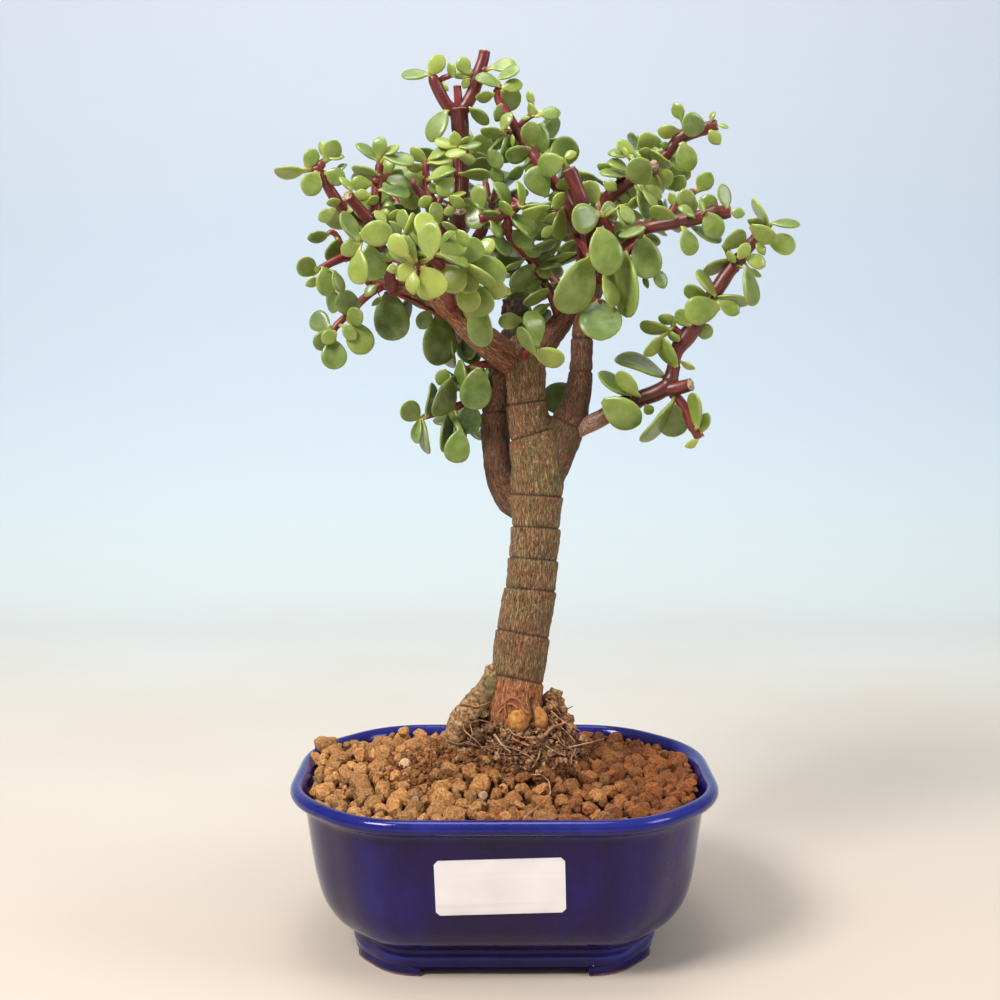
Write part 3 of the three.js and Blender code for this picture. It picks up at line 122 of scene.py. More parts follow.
def new_piece(name, points, faces, *finishes, face_finish=None):
    """An object at the origin from places in mm, measured from the middle of the pot. It carries
    the finishes in order, and each face has the one whose number it is given, or else the first."""
    mesh = bpy.data.meshes.new(name)
    places = np.asarray(points) * .001 + POT_MIDDLE
    mesh.from_pydata(places.tolist(), [], [list(face) for face in faces])
    mesh.shade_smooth()
    for finish in finishes:
        mesh.materials.append(finish)
    if face_finish is not None:
        mesh.polygons.foreach_set("material_index", np.asarray(face_finish, np.int32))
    mesh.update()
    piece = bpy.data.objects.new(name, mesh)
    bpy.context.scene.collection.objects.link(piece)
    return piece


def paint(piece, name, values):
    """Stores three shares from 0 to 1 for each point as a colour attribute that materials read."""
    colours = np.ones((len(piece.data.vertices), 4), np.float32)
    colours[:, :3] = values
    layer = piece.data.color_attributes.new(name, "FLOAT_COLOR", "POINT")
    layer.data.foreach_set("color", colours.ravel())


def waves(points, scale, seed, count=7):
    """Gentle uneven noise from -1 to 1: the mean of sine waves that cross the place in seeded
    directions, each with a length near `scale` mm."""
    random = np.random.default_rng(seed)
    directions = random.normal(size=(count, 3))
    directions /= np.linalg.norm(directions, axis=1, keepdims=True)
    speed = 2 * np.pi / (scale * random.uniform(.6, 1.5, count))
    phase = random.uniform(0, 2 * np.pi, count)
    return np.sin(points @ (directions * speed[:, None]).T + phase).mean(axis=1) * 1.8


def add_node(tree, kind, **values):
    """A node of a kind in a tree, with each input or property set, or linked if it is a socket."""
    node = tree.nodes.new(kind)
    for key, value in values.items():
        name = key.replace("_", " ")
        inputs = [socket for socket in node.inputs if socket.name.lower() == name.lower()]
        if key.startswith("in") and key[2:].isdigit():
            inputs = [node.inputs[int(key[2:])]]
        if not inputs:
            setattr(node, key, value)
        elif isinstance(value, bpy.types.NodeSocket):
            tree.links.new(value, inputs[0])
        else:
            inputs[0].default_value = value
    return node


def colour_ramp(tree, factor, stops):
    """A colour ramp fed by `factor`, with (place, (r, g, b)) stops. Gives its colour socket."""
    ramp = add_node(tree, "ShaderNodeValToRGB", in0=factor)
    elements = ramp.color_ramp.elements
    for _ in stops[2:]:
        elements.new(.5)
    for element, (place, colour) in zip(elements, stops):
        element.position = place
        element.color = (*colour, 1)
    return ramp.outputs[0]


def mixed(tree, factor, first, second, blend="MIX"):
    """Two colours mixed by a factor. Gives the result's socket."""
    mix = tree.nodes.new("ShaderNodeMix")
    mix.data_type, mix.blend_type = "RGBA", blend
    for socket, value in ((mix.inputs[0], factor), (mix.inputs[6], first), (mix.inputs[7], second)):
        if isinstance(value, bpy.types.NodeSocket):
            tree.links.new(value, socket)
        else:
            socket.default_value = (*value, 1) if isinstance(value, tuple) else value
    return mix.outputs[2]


def scaled(tree, value, gain, offset=0.0, clamp=False):
    """A value times a gain plus an offset, each a number or a socket. Gives the result's socket."""
    return add_node(tree, "ShaderNodeMath", operation="MULTIPLY_ADD", use_clamp=clamp,
                    in0=value, in1=gain, in2=offset).outputs[0]


def new_material(name, **uniform):
    """A material whose Principled BSDF has the uniform values. Gives it and its tree."""
    material = bpy.data.materials.new(name)
    material.use_nodes = True
    shader = material.node_tree.nodes["Principled BSDF"]
    for key, value in uniform.items():
        shader.inputs[key.replace("_", " ")].default_value = value
    return material, material.node_tree


def finished(tree, bump=None, **sockets):
    """Links sockets to the shader's own, and a (height, strength, distance) to its normal."""
    shader = tree.nodes["Principled BSDF"]
    if bump:
        height, strength, distance = bump
        sockets["Normal"] = add_node(tree, "ShaderNodeBump", Strength=strength,
                                     Distance=distance, Height=height).outputs[0]
    for key, value in sockets.items():
        tree.links.new(value, shader.inputs[key.replace("_", " ")])


def painted(tree, name):
    """The three shares of a piece's colour attribute, as sockets."""
    look = add_node(tree, "ShaderNodeAttribute", attribute_name=name).outputs["Color"]
    return add_node(tree, "ShaderNodeSeparateColor", Color=look).outputs


def object_place(tree, scale=(1, 1, 1)):
    """Object coordinates, stretched. Gives the vector's socket."""
    coordinates = add_node(tree, "ShaderNodeTexCoord").outputs["Object"]
    return add_node(tree, "ShaderNodeMapping", Vector=coordinates, Scale=scale).outputs[0]


def noise(tree, vector, scale, detail=4.0, roughness=.55, distortion=0.0):
    """Noise at a place. Gives the value's socket."""
    return add_node(tree, "ShaderNodeTexNoise", Vector=vector, Scale=scale, Detail=detail,
                    Roughness=roughness, Distortion=distortion).outputs[0]


def glaze_material():
    """Cobalt glaze: near black where it lies thick, brighter where it runs thin over an edge, with
    faint purple clouding and pinholes. Its bare clay shows on the foot rims."""
    material, tree = new_material("cobalt_glaze", IOR=1.44, Specular_Tint=(.86, .72, 1, 1))
    thin, bare, _ = painted(tree, "glaze_look")
    place = object_place(tree)
    cloud = noise(tree, place, 38, 5, .6, .6)
    runs = noise(tree, object_place(tree, (1, 1, .16)), 260, 4, .6)
    depth = scaled(tree, cloud, .75, scaled(tree, runs, .25))
    thick = colour_ramp(tree, depth, [(.3, (.004, .001, .028)), (.5, (.006, .002, .056)),
                                      (.7, (.011, .005, .110))])
    edge = colour_ramp(tree, depth, [(.3, (.007, .010, .12)), (.7, (.019, .026, .23))])
    blue = mixed(tree, thin, thick, edge)
    clay = colour_ramp(tree, noise(tree, place, 900, 3), [(.3, (.30, .18, .09)), (.7, (.48, .33, .19))])
    pinholes = noise(tree, place, 1500, 2)
    finished(tree, (scaled(tree, pinholes, .2, runs), .12, .0006),
             Base_Color=mixed(tree, bare, blue, clay),
             Roughness=scaled(tree, bare, .7, scaled(tree, pinholes, .1, .06), True))
    return material


def pot_points():
    """The wall line, smoothed, carried round the outline at each of its insets, with a push of a
    fifth of a mm in and out that a hand-finished body has. The glaze is thin by bell curves round
    the lip, each turn of the outline and the plinth's edge. Inside the lip the inner wall is drawn
    as thick dark glaze, a painted shade."""
    line = smooth_line(POT_WALL, 5)
    outline = pot_outline(np.clip(line[:, 0], 0, None))
    points = np.concatenate([outline, np.repeat(line[:, None, 1:], outline.shape[1], 1)], axis=2)
    around = outline.shape[1]
    flat = points.reshape(-1, 3)
    inset = np.repeat(line[:, 0], around)
    order = np.repeat(np.arange(len(line)), around)
    outward = flat[:, :2] / np.linalg.norm(flat[:, :2], axis=1, keepdims=True)
    push = .22 * waves(flat, 34, 3) * np.clip((inset - .5) / 4, 0, 1)
    flat[:, :2] += outward * push[:, None] * (order < len(line) * .62)[:, None]
    lip = np.exp(-((flat[:, 2] - LIP_LEVEL) / 2.6) ** 2)
    # Inside the lip the thin share is cut back, so the inner wall shows dark thick glaze: painted shade.
    lip *= 1 - .8 * np.clip((inset - 4.4) / 1.2, 0, 1) * (order > len(line) * .5)
    turn = np.zeros(around)
    turn[TURN_POINTS // 2::TURN_POINTS + SIDE_POINTS] = 1
    bell = np.exp(-np.linspace(-2.2, 2.2, TURN_POINTS) ** 2)
    turn = np.convolve(np.tile(turn, 3), bell, "same")[around:2 * around]
    edge = np.tile(turn, len(line)) * .3 * (flat[:, 2] < 57)
    plinth = .6 * np.exp(-(flat[:, 2] - PLINTH_LEVEL) ** 2) + .18 * (flat[:, 2] < 9)
    thin = np.clip(lip + edge + plinth, 0, 1)
    return flat, len(line), around, thin


def foot_points(side_x, side_y):
    """One foot: the part of the plinth's outline that lies in its corner, closed by a point further
    in, in levels from the ground to the plinth. The two inner ends lean inwards as they rise."""
    outline = pot_outline(PLINTH_INSET, TURN_POINTS, 30)[0]
    inner = np.array(RIM_HALF) - PLINTH_INSET - FOOT_SIZE[:2]
    arc = outline[(outline > inner).all(axis=1)]
    arc = arc[np.argsort(np.arctan2(arc[:, 1], arc[:, 0]))]
    t = np.linspace(0, 1, 8)[1:-1, None]
    back = np.vstack([arc[-1] * (1 - t) + inner * t, inner, inner * (1 - t) + arc[0] * t])
    ring = np.vstack([arc, back])
    middle = ring.mean(axis=0)
    levels = np.array([0, .15, .5, 1.2, 2.2, 3.2, FOOT_SIZE[2]])
    shrink = np.array([.99, 1.02, 1.04, 1.055, 1.055, 1.03, 1.0])
    innermost = ring == ring.min(axis=0)
    rings = []
    for level, share in zip(levels, shrink):
        lean = FOOT_LEAN * (level / FOOT_SIZE[2]) ** 2 * innermost
        spot = middle + (ring - middle) * share - lean
        rings.append(np.column_stack([spot, np.full(len(spot), level)]))
    points = np.vstack(rings) * [side_x, side_y, 1]
    return points, len(levels), len(ring)


def build_pot():
    """The bowl's rings closed by a point at each end, and the four feet below its plinth."""
    points, rings, around, thin = pot_points()
    faces = ring_faces(rings, around)
    ends = np.array([[0, 0, points[0, 2]], [0, 0, points[-1, 2]]])
    under, inside = len(points), len(points) + 1
    turn = np.arange(around)
    ahead = (turn + 1) % around
    last = (rings - 1) * around
    caps = [np.stack([ahead, turn, np.full(around, under)], 1),
            np.stack([last + turn, last + ahead, np.full(around, inside)], 1)]
    points = np.vstack([points, ends])
    thin = np.append(thin, [0, 0])
    all_faces = [*faces.tolist(), *caps[0].tolist(), *caps[1].tolist()]
    for side_x in (-1, 1):
        for side_y in (-1, 1):
            foot, levels, size = foot_points(side_x, side_y)
            first = len(points)
            quads = ring_faces(levels, size, first)
            cap = first + np.arange(size)[::-1]
            lid = first + (levels - 1) * size + np.arange(size)
            loops = [*quads.tolist(), cap.tolist(), lid.tolist()]
            if side_x * side_y < 0:
                loops = [loop[::-1] for loop in loops]
            all_faces += loops
            points = np.vstack([points, foot])
            thin = np.append(thin, np.full(len(foot), .15))
    bare = np.clip(1.3 - points[:, 2] / .5 + .25 * waves(points, 9, 8), 0, 1)
    piece = new_piece("glazed_pot", points, all_faces, glaze_material())
    paint(piece, "glaze_look", np.column_stack([thin, bare, bare * 0]))
    return piece


def cut_drains(pot):
    """Takes the two drain holes out of the pot's floor with a Boolean, applied at once."""
    offset, radius = DRAIN_HOLES
    turn = np.linspace(0, 2 * np.pi, 32, endpoint=False)
    circle = np.column_stack([radius * np.cos(turn), radius * np.sin(turn)])
    points, faces = [], []
    for side in (-1, 1):
        first = len(points) * 32
        for height in (-2, 14):
            points.append(np.column_stack([circle + [side * offset, 0], np.full(32, height)]))
        faces += ring_faces(2, 32, first).tolist()
        faces += [(first + np.arange(32)[::-1]).tolist(), (first + 32 + np.arange(32)).tolist()]
    cutter = new_piece("drain_cutter", np.vstack(points), faces)
    boolean = pot.modifiers.new("drains", "BOOLEAN")
    boolean.object, boolean.solver = cutter, "EXACT"
    depsgraph = bpy.context.evaluated_depsgraph_get()
    mesh = bpy.data.meshes.new_from_object(pot.evaluated_get(depsgraph))
    pot.modifiers.remove(boolean)
    pot.data = mesh
    mesh.name = "glazed_pot"
    bpy.data.objects.remove(cutter)


pot = build_pot()
cut_drains(pot)
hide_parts("pot")
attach(pot, "root")


# ------------------------------------------------------------------ the sticker and the drain screens
# The seller's coated-paper sticker follows the front wall, and is left unprinted. Two squares of
# black plastic mesh lie over the drain holes under the soil.

def paper_material():
    """Coated label paper: pinkish white, faintly mottled, with a satin face."""
    material, tree = new_material("label_paper", Coat_Weight=.15)
    grain = noise(tree, object_place(tree), 1400, 4)
    cloud = noise(tree, object_place(tree), 60, 2)
    finished(tree, (grain, .15, .0001), Roughness=scaled(tree, grain, .16, .38),
             Base_Color=colour_ramp(tree, cloud, [(.3, (.80, .76, .78)), (.7, (.90, .87, .88))]))
    return material


def mesh_material():
    """Black polyethylene, dulled by dust from the soil."""
    material, tree = new_material("screen_plastic")
    dust = noise(tree, object_place(tree), 400, 4)
    finished(tree, (dust, .2, .0002), Roughness=scaled(tree, dust, .4, .35),
             Base_Color=colour_ramp(tree, dust, [(.45, (.012, .012, .012)), (.75, (.10, .07, .045))]))
    return material


def refinish(node, material):
    """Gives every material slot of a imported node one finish."""
    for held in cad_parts[node].material_slots:
        held.material = material


refinish("blank_label", paper_material())
screen_plastic = mesh_material()
for node in ("drain_screen_left", "drain_screen_right"):
    refinish(node, screen_plastic)


# ------------------------------------------------------------------ the root ball
# The peaty ball that the tree was potted with stands up out of the new soil round the foot of the
# trunk. Dried peat crumbs, crusts of clay and fine roots cling to it, and it has slumped to the
# front and the right.
#
# What grows or was pushed about by hand has no measured place. It is laid out on an upright sheet
# of 1000 by 1000 units, seen from SHEET_EYE, and by a depth: mm behind the middle of the pot. Rows
# of such places are across, down, depth and radius.

SHEET_EYE = np.array([-1.56, -498.5, 213.0])
SHEET_PITCH = math.radians(6.05)    # the sheet leans down by this much
SHEET_DISTANCE = 1400.0             # from the eye to the sheet, in its own units
SHEET_MIDDLE = 500.0
SIGHT_AHEAD = np.array([0, math.cos(SHEET_PITCH), -math.sin(SHEET_PITCH)])
SIGHT_DOWN = np.array([0, -math.sin(SHEET_PITCH), -math.cos(SHEET_PITCH)])

MOUND_MIDDLE_Y = 1.0
MOUND_LEVELS = np.array([           # height, half width, half depth, middle along X
    [24, 20, 17, 5], [40, 24, 18.5, 4.5], [58, 25.6, 20, 4.4], [64, 25, 19.2, 4.2],
    [69, 23.2, 17.4, 4], [73, 20.6, 14.8, 4], [76, 18.4, 12.4, 4.4], [79, 16, 10.2, 5],
    [82, 13.2, 8, 6.2], [84, 9.5, 6, 7.6]])
MOUND_TOP = 84.0
MOUND_HEART, CLOD_HEART = np.array([5.0, 1, 58]), np.array([5.0, 1, 62])    # what skins face away from
CLODS = [                           # crusts and lumps: place on the sheet, depth, radius, tint
    [462, 735, -4, 8, .3], [452, 742, -3, 5, .2], [472, 722, -6, 6, .5], [466, 709, -5, 5, .3],
    [484, 712, -6, 5, .8], [477, 733, -12, 5.5, .9], [488, 728, -10, 4.5, .6], [464, 752, -12, 4, .2],
    [549, 697, 1, 7, .1], [556, 694, 1, 5.6, .1], [560, 701, 1, 5.6, .2], [552, 707, -3, 6, .4],
    [562, 710, 0, 5.6, .2], [566, 719, -1, 6, .3], [571, 729, -4, 5, .4], [583, 738, -4, 4, .4],
    [545, 700, 3, 6, .5], [534, 740, -16, 4, .1], [497, 757, -19, 3.6, .1], [552, 753, -20, 4.4, .2],
    [561, 763, -22, 6.4, .7], [539, 773, -25, 4.6, .8], [529, 762, -22, 3, .1]]


def unit(vector):
    """The vector at length one."""
    return vector / np.linalg.norm(vector, axis=-1, keepdims=True)


def seen(across, down, depth):
    """The place at a depth on the eye's ray through a place on the sheet. The ray goes one sheet
    distance ahead along the pitched line of sight, then across and down in the sheet."""
    across, down, depth = (np.asarray(value, float)[..., None] for value in (across, down, depth))
    rays = (SHEET_DISTANCE * SIGHT_AHEAD + (across - SHEET_MIDDLE) * np.array([1.0, 0, 0])
            + (down - SHEET_MIDDLE) * SIGHT_DOWN)
    return SHEET_EYE + rays * ((depth - SHEET_EYE[1]) / rays[..., 1:2])


def unit_at(places):
    """Mm to one unit of the sheet at a place: its way ahead of the eye over the sheet's."""
    return (np.asarray(places) - SHEET_EYE) @ SIGHT_AHEAD / SHEET_DISTANCE


def on_sheet(places):
    """Where places are seen on the sheet: their way across and down over their way ahead."""
    off = np.asarray(places) - SHEET_EYE
    ahead = off @ SIGHT_AHEAD
    return (SHEET_MIDDLE + SHEET_DISTANCE * off[..., 0] / ahead,
            SHEET_MIDDLE + SHEET_DISTANCE * (off @ SIGHT_DOWN) / ahead)


def mound_oval(height):
    """Half width, half depth and middle of the ball at a height, by straight lines between levels."""
    return (np.interp(height, MOUND_LEVELS[:, 0], MOUND_LEVELS[:, k]) for k in (1, 2, 3))


def mound_surface(angle, height):
    """The lumpy ball: the ellipse of each height, pushed in and out by waves of four sizes."""
    half_x, half_y, middle = mound_oval(height)
    round_place = np.column_stack([np.cos(angle) * 20, np.sin(angle) * 20, height])
    lump = .075 * waves(round_place, 17, 41) + .05 * waves(round_place, 7, 42)
    lump = 1 + lump * np.clip((MOUND_TOP - height) / 8, .25, 1)
    x = middle + half_x * lump * np.cos(angle)
    y = MOUND_MIDDLE_Y + half_y * lump * np.sin(angle)
    z = height + .8 * waves(round_place, 9, 43) + .5 * waves(round_place, 4, 44)
    return np.column_stack([x, y, z])


def build_mound():
    """The mound's surface on a grid of angles and heights, closed at the top and bottom, with a
    crumbly roughness of its own pushed out along the way from its middle."""
    around, rows = 190, 84
    angles, heights = np.meshgrid(np.linspace(0, 2 * np.pi, around, endpoint=False),
                                  24 + (MOUND_TOP - 24) * np.linspace(0, 1, rows) ** .72)
    points = mound_surface(angles.ravel(), heights.ravel())
    crumbly = sum(reach * waves(points, size, seed, count)
                  for reach, size, seed, count in ((.8, 3.4, 45, 9), (.55, 1.7, 46, 11), (.35, .9, 47, 11)))
    points = points + unit(points - MOUND_HEART) * crumbly[:, None]
    faces = ring_faces(rows, around).tolist()
    faces.append(np.arange(around)[::-1].tolist())
    faces.append(((rows - 1) * around + np.arange(around)).tolist())
    return points, faces


def ball_pattern(splits):
    """A ball of 20 triangles with each split in four so many times: its points and triangles."""
    golden = (1 + 5 ** .5) / 2
    corners = [(-1, golden, 0), (1, golden, 0), (-1, -golden, 0), (1, -golden, 0),
               (0, -1, golden), (0, 1, golden), (0, -1, -golden), (0, 1, -golden),
               (golden, 0, -1), (golden, 0, 1), (-golden, 0, -1), (-golden, 0, 1)]
    faces = [(0, 11, 5), (0, 5, 1), (0, 1, 7), (0, 7, 10), (0, 10, 11), (1, 5, 9), (5, 11, 4),
             (11, 10, 2), (10, 7, 6), (7, 1, 8), (3, 9, 4), (3, 4, 2), (3, 2, 6), (3, 6, 8),
             (3, 8, 9), (4, 9, 5), (2, 4, 11), (6, 2, 10), (8, 6, 7), (9, 8, 1)]
    points = unit(np.array(corners, float))
    faces = np.array(faces)
    for _ in range(splits):
        edges = np.sort(np.vstack([faces[:, [0, 1]], faces[:, [1, 2]], faces[:, [2, 0]]]), axis=1)
        kept, where = np.unique(edges, axis=0, return_inverse=True)
        ab, bc, ca = (where.ravel() + len(points)).reshape(3, -1)
        points = np.vstack([points, unit(points[kept[:, 0]] + points[kept[:, 1]])])
        a, b, c = faces.T
        faces = np.vstack([np.stack(corner, 1) for corner in (
            (a, ab, ca), (b, bc, ab), (c, ca, bc), (ab, bc, ca))])
    return points, faces


def broken_lumps(places, sizes, splits, planes, random):
    """Broken lumps, one at each place: a ball cut back by seeded planes, whose radius in a way w is
    the soft least of plane distance over (w . plane normal), stretched in three ways, roughened by
    waves and turned. Gives points, by lump, and triangles."""
    pattern, triangles = ball_pattern(splits)
    count = len(places)
    normals = unit(random.normal(size=(count, planes, 3)))
    reach = random.uniform(.62, 1.02, (count, planes))
    lean = np.clip(np.einsum("pi,nki->npk", pattern, normals), 0, None) / reach[:, None]
    radius = np.minimum(np.maximum((lean ** 20).sum(axis=2), 1e-9) ** (-1 / 20), 1.14)
    stretch = sizes[:, None] * .5 * random.uniform(.85, 1.25, (count, 3))
    turns, _ = np.linalg.qr(random.normal(size=(count, 3, 3)))
    turns *= np.sign(np.linalg.det(turns))[:, None, None]
    local = pattern[None] * radius[..., None] * stretch[:, None]
    rough = waves((local + random.uniform(0, 400, (count, 1, 3))).reshape(-1, 3), 1.5, 72, 11)
    local *= 1 + .1 * rough.reshape(count, -1, 1)
    points = np.einsum("nij,npj->npi", turns, local) + np.asarray(places)[:, None]
    faces = triangles[None] + (np.arange(count) * len(pattern))[:, None, None]
    return points, faces.reshape(-1, 3).tolist()


def tube(path, radii, sides, first=0):
    """A round tube: at each place of the path, a circle square to the way the path goes there, and
    a cap at both ends. The circle's start is carried along without twist from the last one."""
    path, radii = np.asarray(path, float), np.asarray(radii, float)
    ahead = np.gradient(path, axis=0)
    ahead /= np.linalg.norm(ahead, axis=1, keepdims=True) + 1e-12
    across = np.zeros_like(path)
    guess = np.cross([0, 1, 0], ahead[0])
    across[0] = guess / (np.linalg.norm(guess) + 1e-12)
    for i in range(1, len(path)):
        carried = across[i - 1] - ahead[i] * (across[i - 1] @ ahead[i])
        across[i] = carried / (np.linalg.norm(carried) + 1e-12)
    up = np.cross(ahead, across)
    turn = np.linspace(0, 2 * np.pi, sides, endpoint=False)[None, :, None]
    rings = (path[:, None] + radii[:, None, None]
             * (np.cos(turn) * across[:, None] + np.sin(turn) * up[:, None]))
    faces = ring_faces(len(path), sides, first).tolist()
    faces.append((first + np.arange(sides)[::-1]).tolist())
    faces.append((first + (len(path) - 1) * sides + np.arange(sides)).tolist())
    return rings.reshape(-1, 3), faces


def joined_tubes(routes, sides):
    """A tube along each (path, radii) route, put together: places, faces, and places to each."""
    points, faces, sizes = [], [], []
    for path, radii in routes:
        skin, loops = tube(path, radii, sides, sum(sizes))
        points.append(skin)
        faces += loops
        sizes.append(len(skin))
    return np.vstack(points), faces, sizes


def points_of(mesh, kind="co"):
    """The place, or another value of three numbers, that a mesh holds for each of its points."""
    values = np.empty(len(mesh.vertices) * 3, np.float32)
    mesh.vertices.foreach_get(kind, values)
    return values.reshape(-1, 3).astype(float)


def root_thread(random, steps=12):
    """A fine root on the mound: from a seeded place it wanders down and round by small turns, now
    sunk in the peat and now lifted off it, and thins towards its end."""
    angle = random.uniform(0, 2 * np.pi) if random.random() < .3 else random.normal(-1.35, .8)
    height = random.uniform(63, MOUND_TOP)
    drift = random.normal(0, .07) + np.cumsum(random.normal(0, .045, steps))
    angles = angle + np.cumsum(drift)
    heights = np.clip(height - np.cumsum(random.normal(.95, .75, steps)), 62, MOUND_TOP)
    path = mound_surface(angles, heights)
    lift = random.uniform(.1, 1.0) + np.abs(np.cumsum(random.normal(0, .34, steps)))
    path = smooth_line(path + unit(path - MOUND_HEART) * lift[:, None], 2)
    thick = random.choice([.13, .18, .26, .42], p=[.36, .34, .2, .1])
    return path, thick * np.linspace(1, .5, len(path))


def shader_group(name, inputs, output):
    """An empty node group with named inputs, each given with its kind, and one output of a kind.
    Gives its tree, the sockets of its inputs in order and that of its output."""
    group = bpy.data.node_groups.new(name, "ShaderNodeTree")
    for label, kind in inputs:
        group.interface.new_socket(label, in_out="INPUT", socket_type="NodeSocket" + kind)
    group.interface.new_socket(output[0], in_out="OUTPUT", socket_type="NodeSocket" + output[1])
    return group, group.nodes.new("NodeGroupInput").outputs, group.nodes.new("NodeGroupOutput").inputs[0]


def cloud_group():
    """Clouds a share: adds an amount of an even noise about its middle, kept from 0 to 1."""
    group, given, result = shader_group("clouded_share", [
        ("Share", "Float"), ("Place", "Vector"), ("Scale", "Float"), ("Amount", "Float")],
        ("Share", "Float"))
    cloud = scaled(group, noise(group, given["Place"], given["Scale"], 4, .55), 1.0, -.5)
    group.links.new(scaled(group, cloud, given["Amount"], given["Share"], True), result)
    return group


def shade_group():
    """Darkens a colour piece by piece: it is multiplied by a floor plus a gain times the shade."""
    group, given, result = shader_group("piecewise_shade", [
        ("Colour", "Color"), ("Shade", "Float"), ("Floor", "Float"), ("Gain", "Float")],
        ("Colour", "Color"))
    light = scaled(group, given["Shade"], given["Gain"], given["Floor"])
    grey = add_node(group, "ShaderNodeCombineColor", Red=light, Green=light, Blue=light).outputs[0]
    group.links.new(mixed(group, 1.0, given["Colour"], grey, "MULTIPLY"), result)
    return group


clouded_share, piecewise_shade = cloud_group(), shade_group()


def clouded(tree, share, place, scale, amount):
    """A material's own clouded share: the group with its values. Gives the result's socket."""
    return add_node(tree, "ShaderNodeGroup", node_tree=clouded_share, Share=share, Place=place,
                    Scale=scale, Amount=amount).outputs[0]


def shaded(tree, colour, shade, floor, gain):
    """A material's own darkening: the group with its values. Gives the result's socket."""
    return add_node(tree, "ShaderNodeGroup", node_tree=piecewise_shade, Colour=colour, Shade=shade,
                    Floor=floor, Gain=gain).outputs[0]


def peat_material():
    """Dried peat: dark red brown, with tan and grey crumbs, and clay crust and moss where the tint
    attribute says."""
    material, tree = new_material("peat", Roughness=.95)
    tan, moss, shade = painted(tree, "peat_look")
    place = object_place(tree)
    crumb = noise(tree, place, 900, 8, .72)
    brown = colour_ramp(tree, crumb, [(.37, (.016, .004, .003)), (.47, (.125, .040, .018)),
                                      (.55, (.330, .132, .054)), (.65, (.74, .44, .21))])
    crust = colour_ramp(tree, crumb, [(.36, (.085, .032, .011)), (.48, (.31, .155, .060)),
                                      (.58, (.56, .33, .145)), (.68, (.78, .55, .30))])
    green = colour_ramp(tree, crumb, [(.36, (.012, .012, .006)), (.5, (.055, .055, .025)),
                                      (.66, (.17, .17, .085))])
    share = clouded(tree, tan, place, 130, 1.6)
    base = mixed(tree, moss, mixed(tree, share, brown, crust), green)
    finished(tree, (crumb, .9, .0012), Base_Color=shaded(tree, base, shade, .42, 1.0))
    return material


def root_material():
    """Dry root: straw to dark brown by its age, or fresh orange pink, streaked along its length."""
    material, tree = new_material("dry_root", Roughness=.75)
    streak = noise(tree, object_place(tree), 600, 5, .6)
    age, fresh, _ = painted(tree, "root_look")
    pale = colour_ramp(tree, streak, [(.35, (.33, .165, .070)), (.65, (.68, .45, .24))])
    dark = colour_ramp(tree, streak, [(.35, (.065, .020, .010)), (.65, (.26, .105, .045))])
    pink = colour_ramp(tree, streak, [(.35, (.25, .060, .022)), (.65, (.48, .17, .075))])
    finished(tree, (streak, .4, .0003), Base_Color=mixed(tree, fresh, mixed(tree, age, pale, dark), pink))
    return material


def build_roots(count=90):
    """All the fine root threads as one piece."""
    random = np.random.default_rng(51)
    routes, ages = [], []
    for _ in range(count):
        routes.append(root_thread(random))
        ages.append(random.uniform(.35, 1) ** .8)
    points, faces, sizes = joined_tubes(routes, 5)
    piece = new_piece("root_threads", points, faces, dry_root)
    ages = np.repeat(ages, sizes)
    paint(piece, "root_look", np.column_stack([ages, ages * 0, ages * 0]))
    return piece


def build_crumbs():
    """Peat crumbs on the mound's skin, thickest at the front and right, and the crusts and lumps of
    the list. Gives their points and triangles, and their tints."""
    random = np.random.default_rng(55)
    count = 1900
    angle = np.where(random.random(count) < .4, random.uniform(0, 2 * np.pi, count),
                     random.normal(-1.1, .8, count))
    height = MOUND_TOP - 22 * random.random(count) ** .8
    places = mound_surface(angle, height)
    places += unit(places - MOUND_HEART) * random.uniform(.1, 1.2, (count, 1))
    sizes = .7 + 2.0 * random.random(count) ** 3
    small, small_faces = broken_lumps(places, sizes, 0, 6, random)
    clods = np.array(CLODS, float)
    spots = seen(*clods[:, :3].T)
    large, large_faces = broken_lumps(spots, clods[:, 3] * 2 * unit_at(spots), 3, 9, random)
    large = large.reshape(-1, 3)
    crumbly = .5 * waves(large, 2.6, 56, 9) + .35 * waves(large, 1.2, 57, 11)
    large += unit(large - CLOD_HEART) * crumbly[:, None]
    moss = np.clip(clods[:, 4] - .45, 0, 1) * (clods[:, 0] < 500)
    small_look = np.column_stack([random.random(count) ** 2.2, np.zeros(count), random.random(count)])
    large_look = np.column_stack([1 - .6 * clods[:, 4], moss, np.full(len(clods), .6)])
    look = np.vstack([np.repeat(small_look, small.shape[1], 0),
                      np.repeat(large_look, len(large) // len(clods), 0)])
    points = np.vstack([small.reshape(-1, 3), large])
    shift = small.shape[0] * small.shape[1]
    return points, small_faces + (np.array(large_faces) + shift).tolist(), look


peat, dry_root = peat_material(), root_material()
mound = new_piece("peat_mound", *build_mound(), peat)
mound_points = (points_of(mound.data) - POT_MIDDLE) * 1000
left_side = np.clip((6 - mound_points[:, 0]) / 16, 0, 1)
paint(mound, "peat_look", np.column_stack([.55 * left_side, np.zeros(len(mound_points)),
                                           .3 + .2 * waves(mound_points, 6, 58)]))
crumb_points, crumb_faces, crumb_look = build_crumbs()
crumbs = new_piece("peat_crumbs", crumb_points, crumb_faces, peat)
crumbs.data.set_sharp_from_angle(angle=math.radians(30))
paint(crumbs, "peat_look", crumb_look)
threads = build_roots()
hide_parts("root_ball")
for piece in (mound, crumbs, threads):
    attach(piece, "root")


# ------------------------------------------------------------------ the soil
# Baked clay granules, sieved to a few mm, poured round the root ball up to the lip and heaped on
# the left. They are dry and yellowish at the left and redder at the right. Crushed fines lie
# towards the back and against the root ball.

